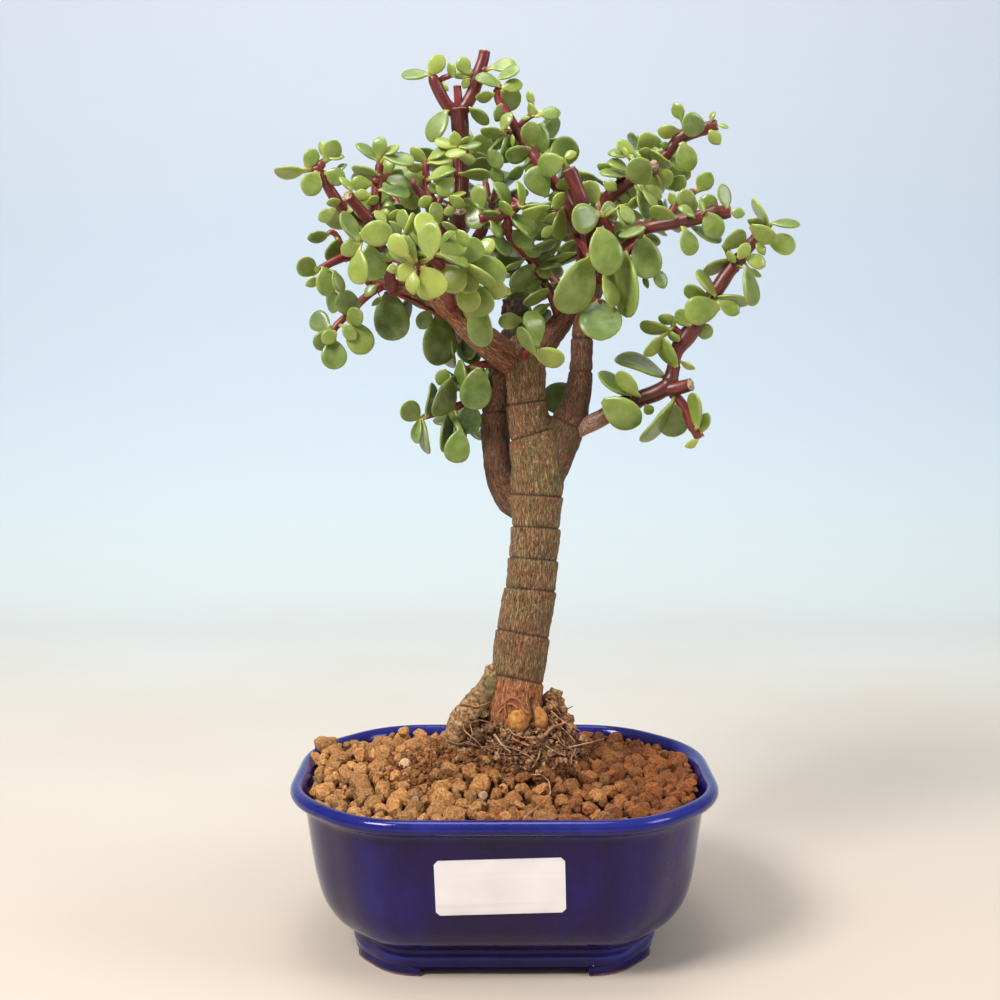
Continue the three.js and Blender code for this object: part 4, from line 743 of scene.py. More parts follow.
BED_TOP, BED_FALL = 61.0, 1.5       # level in the middle, and how much it falls to the rim
BANK_RISE, BANK_REACH = 5.2, 12.0   # the bed banks up against the root ball
LEFT_RISE = 4.6                     # and so much more at its left
HEAP = (-62.0, 18.0, 3.6, 13.0)     # the heap at the left: place, rise and reach
FINES = (-20.0, 3.0, 30.0, 27.0)    # the drift of fines: place and half sizes
BED_DROP, FINES_RISE = 5.2, 4.4     # the fines' surface lies lower than the bed, but for the drift
BED_FOOT = 48.0                     # the level down to which the fines are made
LUMP_LAYERS = [                     # tries, least and most size, how far they lie below the bed
    (36, 6.4, 8.0, 0), (560, 4.9, 6.4, 0), (2600, 3.6, 4.9, 0), (2800, 2.4, 3.6, .2),
    (1600, 4.0, 6.0, 4.0)]
PALE_GRANULES = [[409, 767], [420, 800], [486, 802]]
PERCHED = [                         # granules heaped on the rest: place on the sheet, depth, size
    [324, 747, 25, 6.8], [331, 745, 30, 5.4], [404, 731, 46, 4.6], [317, 758, 15, 6.0]]


def outside_mound(x, y, height=66.0):
    """How far outside the root ball's outline at a height a place lies, roughly, in mm."""
    half_x, half_y, middle = mound_oval(height)
    share = np.hypot((x - middle) / half_x, (y - MOUND_MIDDLE_Y) / half_y)
    return (share - 1) * min(half_x, half_y)


def bed_level(x, y):
    """The level of the bed: a dome that falls with the square of the way to the rim, a bank that
    dies away from the root ball and is higher at its left, and a heap, both by bell curves."""
    dome = BED_TOP - BED_FALL * ((x / RIM_HALF[0]) ** 2 + (y / RIM_HALF[1]) ** 2)
    rise = BANK_RISE + LEFT_RISE * np.clip((4 - x) / 12, 0, 1)
    bank = rise * np.exp(-(np.clip(outside_mound(x, y), 0, None) / BANK_REACH) ** 1.5)
    heap = HEAP[2] * np.exp(-((x - HEAP[0]) ** 2 + (y - HEAP[1]) ** 2) / HEAP[3] ** 2)
    return dome + bank + heap


def fines_share(x, y):
    """How far fines cover a place, 0 to 1: an oval drift, and a skirt round the root ball."""
    drift = np.exp(-(((x - FINES[0]) / FINES[2]) ** 2 + ((y - FINES[1]) / FINES[3]) ** 2) ** 2)
    skirt = np.exp(-(np.clip(outside_mound(x, y), 0, None) / 5.5) ** 2)
    return np.maximum(drift, skirt)


def inside_pot(x, y, inset):
    """How far inside the pot's outline at an inset a place lies: the least of its ways to the lines
    that the outline's sides lie on, since that outline bulges everywhere."""
    rim = pot_outline(inset, 7, 2)[0]
    step = np.roll(rim, -1, axis=0) - rim
    outward = unit(np.column_stack([step[:, 1], -step[:, 0]]))
    return ((rim * outward).sum(axis=1) - np.column_stack([x, y]) @ outward.T).min(axis=1)


def build_bed():
    """The fines that show between granules: the pot's outline shrunk towards the middle ring by
    ring, at the bed's level less five mm, or less one where fines lie, roughened by waves."""
    steps = 120
    shares = np.linspace(1, .02, steps)
    rim = pot_outline(8.0, 7, 12)[0]
    around = len(rim)
    flat = (rim[None] * shares[:, None, None]).reshape(-1, 2)
    covered = fines_share(*flat.T)
    base = np.column_stack([flat, bed_level(*flat.T) - BED_DROP + FINES_RISE * covered])
    rough = .9 * waves(base, 7, 61) + .55 * waves(base, 2.6, 62, 9) + .4 * waves(base, 1.3, 63, 11)
    base[:, 2] += rough * np.clip((1 - np.repeat(shares, around)) * 30, .2, 1)
    wall = np.column_stack([rim, np.full(around, BED_FOOT)])
    points = np.vstack([wall, base, [[0, 0, 60]], [[0, 0, BED_FOOT]]])
    faces = ring_faces(steps + 1, around).tolist()
    turn = np.arange(around)
    ahead = (turn + 1) % around
    last = steps * around
    faces += np.stack([last + turn, last + ahead, np.full(around, last + around)], 1).tolist()
    faces += np.stack([ahead, turn, np.full(around, last + around + 1)], 1).tolist()
    return points, faces


def place_granules(random):
    """Granule places and sizes: seeded darts, largest first, each kept if it lies inside the pot,
    outside the mound and the fines and clear of those before it. A lower layer fills the gaps."""
    places, sizes = [], []
    for count, low, high, drop in LUMP_LAYERS:
        lower = drop > 1
        held, held_sizes = ([], []) if lower else (places, sizes)
        fresh = random.uniform(-1, 1, (count * 5, 2)) * [70, 55]
        width = random.uniform(low, high, count * 5)
        room = inside_pot(*fresh.T, 6.2 + .6 * drop) - width * .46
        room = np.minimum(room, outside_mound(*fresh.T) + width * .2)
        buried = fines_share(*fresh.T) * (1.1 if low > 3 else .6)
        clear = (room > 0) & (random.random(len(fresh)) > buried)
        for spot, size in zip(fresh[clear], width[clear]):
            if held:
                away = np.hypot(*(np.array(held)[:, :2] - spot).T)
                if (away < (np.array(held_sizes) + size) * .48).any():
                    continue
            height = bed_level(*spot) - size * .26 - drop + random.normal(0, .75)
            held.append([*spot, height])
            held_sizes.append(size)
        if lower:
            places, sizes = places + held, sizes + held_sizes
    under = np.arange(len(places)) >= len(places) - len(held)
    perched = np.array(PERCHED, float)
    return (np.vstack([places, seen(*perched[:, :3].T)]), np.append(sizes, perched[:, 3]),
            np.append(under, np.full(len(perched), False)))


def place_fines(random, count=4200):
    """Crumbs of 1 to 2.6 mm, sown at random and kept by the share of fines there."""
    spots = random.uniform(-1, 1, (count * 3, 2)) * [66, 51]
    chance = fines_share(*spots.T) + .05
    room = (inside_pot(*spots.T, 9.5) > 0) & (outside_mound(*spots.T) > -1.5)
    spots = spots[room & (random.random(len(spots)) < chance)][:count]
    height = bed_level(*spots.T) - 1.2 + 2.2 * fines_share(*spots.T) * random.random(len(spots))
    return np.column_stack([spots, height]), .9 + 1.8 * random.random(len(spots)) ** 2.2


def build_granules():
    """The granules, then the crumbs: points, triangles and the look of each, red, pale and light,
    where the lower layer is painted dark as shade in the gaps.
    """
    random = np.random.default_rng(71)
    places, sizes, under = place_granules(random)
    across, down = on_sheet(places)
    count = len(places)
    # The lower layer is made redder and gets a shade near 0 below: painted shade in the gaps between
    # granules.
    red = np.clip(.40 + places[:, 0] / 75 + random.normal(0, .16, count) + .5 * under, 0, 1)
    pale = np.zeros(count)
    for spot in PALE_GRANULES:
        pale[(np.hypot(across - spot[0], down - spot[1]) + 99 * (under | (sizes > 5))).argmin()] = .5
    look = np.column_stack([red, pale, np.where(under, .05, random.uniform(.35, 1, count))])
    large, large_faces = broken_lumps(places, sizes, 1, 8, random)
    fines, widths = place_fines(random)
    small, small_faces = broken_lumps(fines, widths, 0, 6, random)
    damp = np.clip(1 - outside_mound(fines[:, 0], fines[:, 1]) / 9, 0, 1) * (fines[:, 0] > 4)
    small_look = np.column_stack([np.clip(.75 + damp, 0, 1), np.zeros(len(fines)),
                                  random.random(len(fines)) * (1 - .8 * damp)])
    return ((large.reshape(-1, 3), large_faces, np.repeat(look, large.shape[1], 0)),
            (small.reshape(-1, 3), small_faces, np.repeat(small_look, small.shape[1], 0)))


def clay_material():
    """Baked clay: yellow tan to red brown by granule, powdery, with finer pores on each, darkened
    by its shade share, which varies at random by granule and paints shade on the lower granules
    and on the bed between them.
    """
    material, tree = new_material("baked_clay", Roughness=.95)
    red, pale, shade = painted(tree, "clay_look")
    place = object_place(tree)
    pores = noise(tree, place, 1100, 8, .7)
    cloud = noise(tree, place, 200, 3)
    tan = colour_ramp(tree, pores, [(.33, (.23, .084, .021)), (.45, (.50, .218, .064)),
                                    (.61, (.81, .445, .165))])
    rust = colour_ramp(tree, pores, [(.33, (.090, .021, .004)), (.45, (.215, .058, .011)),
                                     (.61, (.38, .125, .028))])
    redness = scaled(tree, red, .85, scaled(tree, cloud, .25), True)
    base = mixed(tree, pale, mixed(tree, redness, tan, rust), (.80, .62, .46))
    finished(tree, (pores, 1.0, .0011), Base_Color=shaded(tree, base, shade, .32, .90))
    return material


baked_clay = clay_material()
(granule_points, granule_faces, granule_look), (*crushed, crushed_look) = build_granules()
granules = new_piece("clay_granules", granule_points, granule_faces, baked_clay)
paint(granules, "clay_look", granule_look)
crumbs = new_piece("clay_crumbs", *crushed, baked_clay)
paint(crumbs, "clay_look", crushed_look)
bed_points, bed_faces = build_bed()
bed = new_piece("clay_fines", bed_points, bed_faces, baked_clay)
# Outside the drift of fines the bed gets a low shade share: painted shade where it shows between granules.
dampness = np.clip(1 - outside_mound(bed_points[:, 0], bed_points[:, 1]) / 10, 0, 1)
paint(bed, "clay_look", np.column_stack([
    np.clip(.8 + bed_points[:, 0] / 130, 0, 1), np.zeros(len(bed_points)),
    np.clip(.75 * fines_share(*bed_points[:, :2].T) - .5 * dampness * (bed_points[:, 0] > 4), 0, 1)]))
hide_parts("soil")
for piece in (granules, crumbs):
    piece.data.set_sharp_from_angle(angle=math.radians(27))
for piece in (granules, crumbs, bed):
    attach(piece, "root")


# ------------------------------------------------------------------ the trunk
# A cutting grown thick: one tapering trunk with a raised limb on each side, scars where whole
# rings of leaves once sat, a dead stub at the top and swollen orange root heads at its foot. Its
# bark is thin, grey brown and finely streaked along the wood.

TRUNK_ROUTE = [
    [512, 800, 2, 20], [512, 760, 1, 24], [513, 728, 1, 28], [513, 706, 1, 29.5],
    [514, 690, 1, 28.5], [518, 670, 1, 27.2], [521, 648, 1, 27.4], [524, 626, 1, 26.8],
    [528, 604, 1, 26], [531, 583, 1, 25.6], [533, 562, 1, 25], [535, 541, 1, 24.6],
    [536, 520, 1, 24.8], [537, 500, 1, 25.8], [538, 480, 1, 26.6], [538, 462, 1, 27],
    [535, 446, 1, 26], [530, 428, 1, 21.5], [527, 408, 1, 20], [526, 386, 1, 20],
    [525, 366, 1, 20.4], [524, 350, 1, 18], [523, 344, 1, 12],
]
BROWN_LIMBS = [
    # left limb
    [
     [516, 364, 1, 15], [503, 354, -1, 16], [482, 338, -2, 15], [463, 322, -2, 12.5],
     [447, 308, -2, 10.5], [431, 296, -2, 9], [414, 289, -2, 8], [398, 286, -2, 7],
     [384, 284, -2, 6.2], [370, 280, -2, 5], [362, 276, -2, 4.5],
    ],
    # low left limb, rising behind the left one
    [
     [524, 512, 4, 13], [510, 500, 7, 14], [501, 480, 8, 14.5], [497, 456, 9, 14.5],
     [495, 430, 10, 14.5], [496, 405, 10, 14], [499, 385, 9, 12], [508, 366, 6, 10],
    ],
    # right limb
    [
     [543, 484, 1, 17], [552, 464, 1, 19], [560, 446, 1, 18], [565, 430, 1, 18.6],
     [572, 415, 1, 16.6], [577, 398, 1, 14], [580, 382, 1, 12.6], [581, 371, 1, 12],
     [582, 354, 1, 11.2], [582, 338, 1, 11], [585, 320, 1, 10.5], [590, 300, 1, 10],
     [597, 281, 1, 9], [601, 266, 1, 8],
    ],
    # middle limb
    [
     [534, 360, 3, 14], [546, 342, 5, 13], [557, 328, 7, 12], [566, 314, 8, 11], [573, 300, 9, 10],
     [578, 284, 9, 9], [581, 266, 8, 7.5],
    ],
    # dead stub on top
    [
     [514, 360, 4, 13], [514, 335, 6, 10], [514, 318, 7, 9], [514, 313, 7, 12.5],
     [514, 299, 7, 12.5],
    ],
    # a crusted root that flares down the left of the foot
    [
     [497, 668, -1, 9], [490, 684, -3, 12], [479, 700, -4, 12], [463, 718, -5, 12.5],
     [457, 735, -5, 12], [456, 750, -5, 9],
    ],
    # two root knobs in front
    [[520, 709, -5, 9], [518, 720, -8, 12.4], [516, 730, -7.5, 9]],
    [[538, 711, -4, 5], [540, 718, -8.5, 8], [542, 726, -7, 6]],
]
DEAD_STUB, CRUSTED_ROOT, ROOT_KNOBS = 5, 6, (7, 8)      # which of the limbs above, from 1
# Where a scar crosses a limb: down the sheet, across, slope, and the wood it belongs to
TRUNK_RINGS = [[678.5, 515, .21], [634, 524, .19], [589.5, 531, .10], [559, 533, .08],
               [527.5, 536, .06], [495.5, 537, .055], [434.5, 531, -.3], [402.5, 528, -.13]]
LIMB_RINGS = {2: [[412, 496, -.05]], 3: [[371, 581, .02], [338, 582, 0], [425, 572, .5]]}
RING_SWELL = 0.36                   # mm that the wood below a scar stands proud of that above
# LIMB_SHADE darkens the low left, right and middle limbs: painted shade, as they sit in the crown's shade.
LIMB_WARMTH = [0, .85, .75, .75, .8, 0, 0, 0, 0]    # how brown the trunk and each limb are,
LIMB_SHADE = [0, 0, .52, .5, .35, 0, 0, 0, 0]       # and how dark
FOOT_CRACK = (532.5, 711, 13)       # on the sheet: across, down, and half its length
MOSS_PATCHES = [(492, 688, 10, 12, 1.9), (561, 424, 9, 16, .9)]     # place, reaches, strength
CELL = .56                          # mm, the cells that the limbs are fused in


def limb_line(rows, steps=5):
    """Places and radii in mm along a limb: the smooth line through its rows, put in space."""
    line = smooth_line(rows, steps)
    places = seen(*line[:, :3].T)
    return places, line[:, 3] * unit_at(places)


def lengths_along(places):
    """The length of a path from its start to each of its places."""
    return np.concatenate([[0], np.cumsum(np.linalg.norm(np.diff(places, axis=0), axis=1))])


def fused_limbs(lines):
    """All the limbs as one skin: closed tubes are laid through each other, remeshed to cells of
    one size and smoothed, which fills each crotch with a collar. Gives places in mm and faces."""
    rough = new_piece("rough_limbs", *joined_tubes(lines, 20)[:2])
    remesh = rough.modifiers.new("fuse", "REMESH")
    remesh.mode, remesh.voxel_size = "VOXEL", CELL * .001
    even = rough.modifiers.new("even", "SMOOTH")
    even.factor, even.iterations = .5, 7
    mesh = bpy.data.meshes.new_from_object(
        rough.evaluated_get(bpy.context.evaluated_depsgraph_get()))
    places, normals = (points_of(mesh) - POT_MIDDLE) * 1000, points_of(mesh, "normal")
    loops = [list(face.vertices) for face in mesh.polygons]
    bpy.data.objects.remove(rough)
    bpy.data.meshes.remove(mesh)
    return places, normals, loops


def nearest_limb(points, lines):
    """For each point the limb that it belongs to (least way to its line, over the radius there),
    the length along that limb, and the two ways off its middle, across and up."""
    best = np.full(len(points), np.inf)
    which, length = np.zeros(len(points), int), np.zeros(len(points))
    side = np.zeros((len(points), 2))
    for k, (places, radii) in enumerate(lines):
        steps = lengths_along(places)
        ahead = unit(np.gradient(places, axis=0))
        for chunk in np.array_split(np.arange(len(points)), 1 + len(points) // 4000):
            off = points[chunk, None] - places[None]
            away = np.linalg.norm(off, axis=2) / radii[None]
            near = away.argmin(axis=1)
            row = np.arange(len(chunk))
            closer = away[row, near] < best[chunk]
            pick = chunk[closer]
            best[pick] = away[row, near][closer]
            which[pick] = k
            forward = ahead[near[closer]]
            rest = off[row, near][closer]
            length[pick] = steps[near[closer]] + (rest * forward).sum(axis=1)
            across = unit(np.cross([0, 1.0, 0], forward))
            up = np.cross(forward, across)
            side[pick] = np.column_stack([(rest * across).sum(axis=1), (rest * up).sum(axis=1)])
    return which, length, side


def scar_depth(points, which):
    """How far above the nearest scar plane each point lies, in mm (negative below), and the scar's
    number: a scar is the plane through the eye and a sloped line on the sheet."""
    across, down = on_sheet(points)
    scale = unit_at(points)
    least, number = np.full(len(points), 99.0), np.full(len(points), -1)
    rings = [(0, ring) for ring in TRUNK_RINGS] + [
        (limb, ring) for limb, rows in LIMB_RINGS.items() for ring in rows]
    for k, (limb, (level, middle, slope)) in enumerate(rings):
        above = (level + slope * (across - middle) - down) * scale
        near = (which == limb) & (np.abs(above) < np.abs(least))
        least[near], number[near] = above[near], k
    return least, number


def lay_grain(piece, places):
    """Stores for each point the place, in mm, that the grain of its finish is read at."""
    layer = piece.data.attributes.new("grain_place", "FLOAT_VECTOR", "POINT")
    layer.data.foreach_set("vector", (places * .001).astype(np.float32).ravel())


def build_trunk():
    """The fused limbs with their bark relief: a ledge that swells below each scar and dies away
    over six mm, a sharp groove in the scar, streaks that run along the wood, and soft lumps."""
    lines = [limb_line(rows) for rows in [TRUNK_ROUTE, *BROWN_LIMBS]]
    points, normals, faces = fused_limbs(lines)
    which, length, side = nearest_limb(points, lines)
    above, number = scar_depth(points, which)
    snap = np.abs(above) < .3
    points[snap, 2] -= above[snap]
    above[snap] = 0
    grain = np.column_stack([side, length * .19])
    worth = np.where(which == 0, 1, .3)
    ledge = np.where(above < 0, np.exp(above / 4.5), 0) * RING_SWELL * worth * (np.abs(above) < 90)
    above_ledge = np.where(above >= 0, -.25 * np.exp(-above / 2.5), 0) * worth
    groove = -.42 * np.exp(-(above / .42) ** 2)
    streak = .10 * waves(grain, 1.5, 81, 12) + .07 * waves(grain, .9, 82, 12)
    lump = .35 * waves(points, 13, 83)
    wrinkle = .10 * waves(np.column_stack([side * .35, length]), 3.0, 84)
    dead, crust = which == DEAD_STUB, which == CRUSTED_ROOT
    knob = np.isin(which, ROOT_KNOBS)
    crumble = .5 * waves(points, 2.2, 85) + .3 * waves(points, 1.2, 86)
    crust_lumps = .5 * waves(points, 7, 88) + .26 * waves(points, 2.2, 89, 9)
    relief = ledge + above_ledge + groove + streak + wrinkle
    push = np.select([dead, crust, knob], [crumble, crust_lumps, .3 * streak], relief) + lump * .6
    across, down = on_sheet(points)
    crack = np.exp(-((across - FOOT_CRACK[0]) / 1.5) ** 2) * (points[:, 1] < 0)
    crack *= np.abs(down - FOOT_CRACK[1]) < FOOT_CRACK[2]
    points = points + normals * (push - .9 * crack)[:, None]
    piece = new_piece("woody_trunk", points, faces)
    tone = np.random.default_rng(87).uniform(.0, .75, 20)[number] * .6
    fresh = np.exp(-np.clip(-above, 0, 99) / 5) * (above < .5) * .7
    red_spots = np.clip(waves(points, 9, 90) * 1.5 - .55, 0, 1)
    warm = tone + fresh * (.4 + red_spots) + .5 * red_spots
    warm = warm + np.choose(which, LIMB_WARMTH)
    foot = np.clip((down - 676) / 10, 0, 1) * ~crust
    # dark: black in scars, on the dead stub and in the foot crack, plus painted shade on three limbs.
    dark = np.exp(-(above / .30) ** 2) * ~crust * ~knob + dead + np.choose(which, LIMB_SHADE) + crack
    mossy = np.clip(1 - np.abs(down - 470) / 130, 0, 1) * np.clip((across - 505) / 50, 0, 1)
    for middle, level, wide, tall, strength in MOSS_PATCHES:
        mossy += strength * np.exp(-((across - middle) / wide) ** 2 - ((down - level) / tall) ** 2)
    paint(piece, "bark_look", np.clip(np.column_stack([warm, dark, mossy]), 0, 1))
    paint(piece, "bark_zone", np.clip(np.column_stack([foot, crust, knob]), 0, 1))
    lay_grain(piece, grain)
    return piece


def bark_material():
    """Thin succulent bark: grey-brown and olive streaks along the wood over a warm brown ground,
    redder where it is young or freshly ridged, black in scars, orange on the root heads, and
    darker on three limbs as painted shade."""
    material, tree = new_material("ringed_bark")
    warm, dark, moss = painted(tree, "bark_look")
    foot, crust, root = painted(tree, "bark_zone")
    place = object_place(tree)
    grain = add_node(tree, "ShaderNodeAttribute", attribute_name="grain_place").outputs["Vector"]
    streaks = noise(tree, grain, 1900, 7, .70, .6)
    fine = noise(tree, grain, 4600, 4, .65)
    both = scaled(tree, streaks, .62, scaled(tree, fine, .38))
    grey = colour_ramp(tree, both, [(.38, (.020, .010, .004)), (.455, (.120, .063, .022)),
                                    (.53, (.262, .158, .064)), (.63, (.700, .520, .290))])
    brown = colour_ramp(tree, both, [(.38, (.032, .010, .005)), (.46, (.176, .058, .025)),
                                     (.54, (.350, .138, .062)), (.64, (.680, .380, .210))])
    olive = colour_ramp(tree, both, [(.37, (.014, .013, .004)), (.46, (.090, .079, .020)),
                                     (.545, (.220, .195, .060)), (.64, (.540, .470, .210))])
    base = mixed(tree, clouded(tree, warm, place, 95, 2.6), grey, brown)
    patches = colour_ramp(tree, noise(tree, place, 230, 4), [(.42, (0, 0, 0)), (.62, (1, 1, 1))])
    green = scaled(tree, scaled(tree, moss, 1.0, .25), patches)
    base = mixed(tree, scaled(tree, green, .65, clamp=True), base, olive)
    pink = colour_ramp(tree, both, [(.40, (.10, .020, .006)), (.50, (.47, .140, .042)),
                                    (.60, (.84, .43, .20))])
    base = mixed(tree, scaled(tree, foot, .8), base, pink)
    clay = colour_ramp(tree, noise(tree, place, 700, 8, .72), [
        (.38, (.070, .027, .010)), (.48, (.350, .180, .070)), (.60, (.68, .44, .22))])
    clay = mixed(tree, scaled(tree, moss, .8, clamp=True), clay, olive)
    base = mixed(tree, crust, base, clay)
    amber = colour_ramp(tree, noise(tree, place, 420, 5, .6), [
        (.32, (.30, .085, .012)), (.5, (.60, .235, .042)), (.66, (.80, .46, .14))])
    base = mixed(tree, root, base, amber)
    char = colour_ramp(tree, both, [(.4, (.008, .006, .005)), (.62, (.05, .035, .028))])
    dull = scaled(tree, both, .3, .58)
    finished(tree, (both, 1.0, .0012), Base_Color=mixed(tree, scaled(tree, dark, .85), base, char),
             Roughness=scaled(tree, root, -.3, dull))
    return material


trunk = build_trunk()
trunk.data.materials.append(bark_material())
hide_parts("trunk")
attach(trunk, "root")


# ------------------------------------------------------------------ the bare roots
# Where the peat has washed off, roots lie bare over the foot of the trunk, the ball and the first
# granules: pink young ones that loop over each other, dry straws, and one peeled orange end.

BARE_ROOTS = [                      # radius at both ends on the sheet, pink, age, places on the sheet
    (1.25, 1.0, 1, 0, [[506, 716], [505, 704], [510, 698], [517, 699], [522, 706], [528, 714]]),
    (1.1, .8, .9, .1, [[500, 706], [507, 700], [513, 698], [520, 702], [525, 710], [531, 717]]),
    (1.1, .9, .7, .3, [[499, 712], [504, 706], [512, 704], [518, 709]]),
    (2.2, 1.0, .3, .5, [[539, 738], [545, 735], [550, 729], [558, 725], [567, 722]]),
    (.9, .5, .3, 0, [[567, 748], [583, 744], [596, 741], [604, 738]]),
    (.7, .5, .4, 0, [[531, 775], [541, 775], [549, 783], [549, 796], [540, 805], [530, 812], [522, 821]]),
    (.7, .5, 0, 0, [[463, 724], [466, 732], [477, 741], [486, 752]]),
    (1.2, .8, .2, .5, [[460, 703], [469, 705], [478, 706], [490, 702]]),
    (1.6, .9, .1, .3, [[494, 734], [502, 744], [511, 753]]),
    (1.3, .8, .8, .2, [[512, 738], [520, 742], [531, 746]]),
    (1.0, .6, .4, .1, [[540, 748], [538, 758], [532, 768]]),
    (.6, .4, .2, 0, [[556, 722], [566, 732], [575, 742]]),
    (.8, .4, 0, 1, [[562, 714], [568, 709], [573, 706]]),
    (.7, .4, .1, .2, [[546, 699], [554, 705], [561, 716]]),
    (.7, .4, .1, 0, [[551, 711], [560, 719], [571, 726], [580, 731]]),
    (.8, .5, .1, .7, [[457, 716], [468, 722], [480, 720], [492, 724]]),
    (.8, .5, 0, .6, [[500, 745], [512, 748], [524, 752]]),
    (.7, .4, .4, .1, [[520, 752], [530, 757], [537, 766]]),
    (.6, .4, 0, 0, [[545, 745], [556, 752], [566, 756]]),
    (.8, .5, .6, .1, [[508, 729], [518, 736], [530, 738]]),
    (.7, .4, 0, .5, [[446, 740], [458, 744], [470, 742], [480, 747]]),
    (.6, .4, .2, .4, [[557, 737], [562, 744], [572, 750], [577, 758]]),
    (.6, .4, .1, .2, [[470, 724], [472, 734], [468, 745]]),
]


def front_depth(across, down, surfaces, reach=2.6):
    """The depth of whatever lies foremost within a reach of a place on the sheet, or nan."""
    seen_across, seen_down, depth = surfaces
    near = (np.abs(seen_across - across) < reach) & (np.abs(seen_down - down) < reach)
    return depth[near].min() if near.any() else np.nan


def build_bare_roots():
    """Each root: the smooth line through its places, laid on whatever is foremost there and evened
    along its length by a running mean, as a tube that tapers and swells unevenly."""
    held = np.vstack([crumb_points, granule_points, mound_points, bed_points,
                      (points_of(trunk.data) - POT_MIDDLE) * 1000])
    held = held[(held[:, 2] > 55) & (held[:, 2] < 105)]
    surfaces = (*on_sheet(held), held[:, 1])
    routes, look = [], []
    for number, (thick, thin, pink, age, places) in enumerate(BARE_ROOTS):
        line = smooth_line(places, 7)
        line += .5 * np.column_stack([waves(np.pad(line, ((0, 0), (0, 1))), 11, seed + number)
                                      for seed in (130, 170)])
        depth = np.array([front_depth(*place, surfaces) for place in line])
        known = ~np.isnan(depth)
        depth = np.interp(np.arange(len(line)), np.arange(len(line))[known], depth[known])
        eased = np.convolve(np.pad(depth, 3, "edge"), np.ones(7) / 7, "valid")
        path = seen(line[:, 0], line[:, 1], np.minimum(eased, depth + .5))
        radii = np.linspace(thick, thin, len(line)) * unit_at(path)
        path[:, 1] -= radii * .6
        radii *= 1 + .16 * waves(path, 2.6, 101 + number)
        routes.append((path, radii))
        look.append([age, pink, 0])
    points, faces, sizes = joined_tubes(routes, 8)
    piece = new_piece("bare_roots", points, faces, dry_root)
    paint(piece, "root_look", np.repeat(look, sizes, 0))
    return piece


bare_roots = build_bare_roots()
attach(bare_roots, "root")


# ------------------------------------------------------------------ leaves and green wood
# Each spray is one leafy side shoot: smooth red-brown to crimson stems, ringed at each joint and
# grown out of the limbs, with plump, waxy, egg-shaped leaves in opposite pairs.
#
# "stems" are routes on the sheet. Those numbered in "cut" end in a cut, and the first is brown over
# its first "woody" mm. "ruled" are stems that get their leaf pairs by rule. A row of "leaves" is
# where a leaf leaves its stem, where its tip is and how broad it looks. The rows of "more" are
# settled once every spray has its leaves. "tone" is how yellow the leaves are.

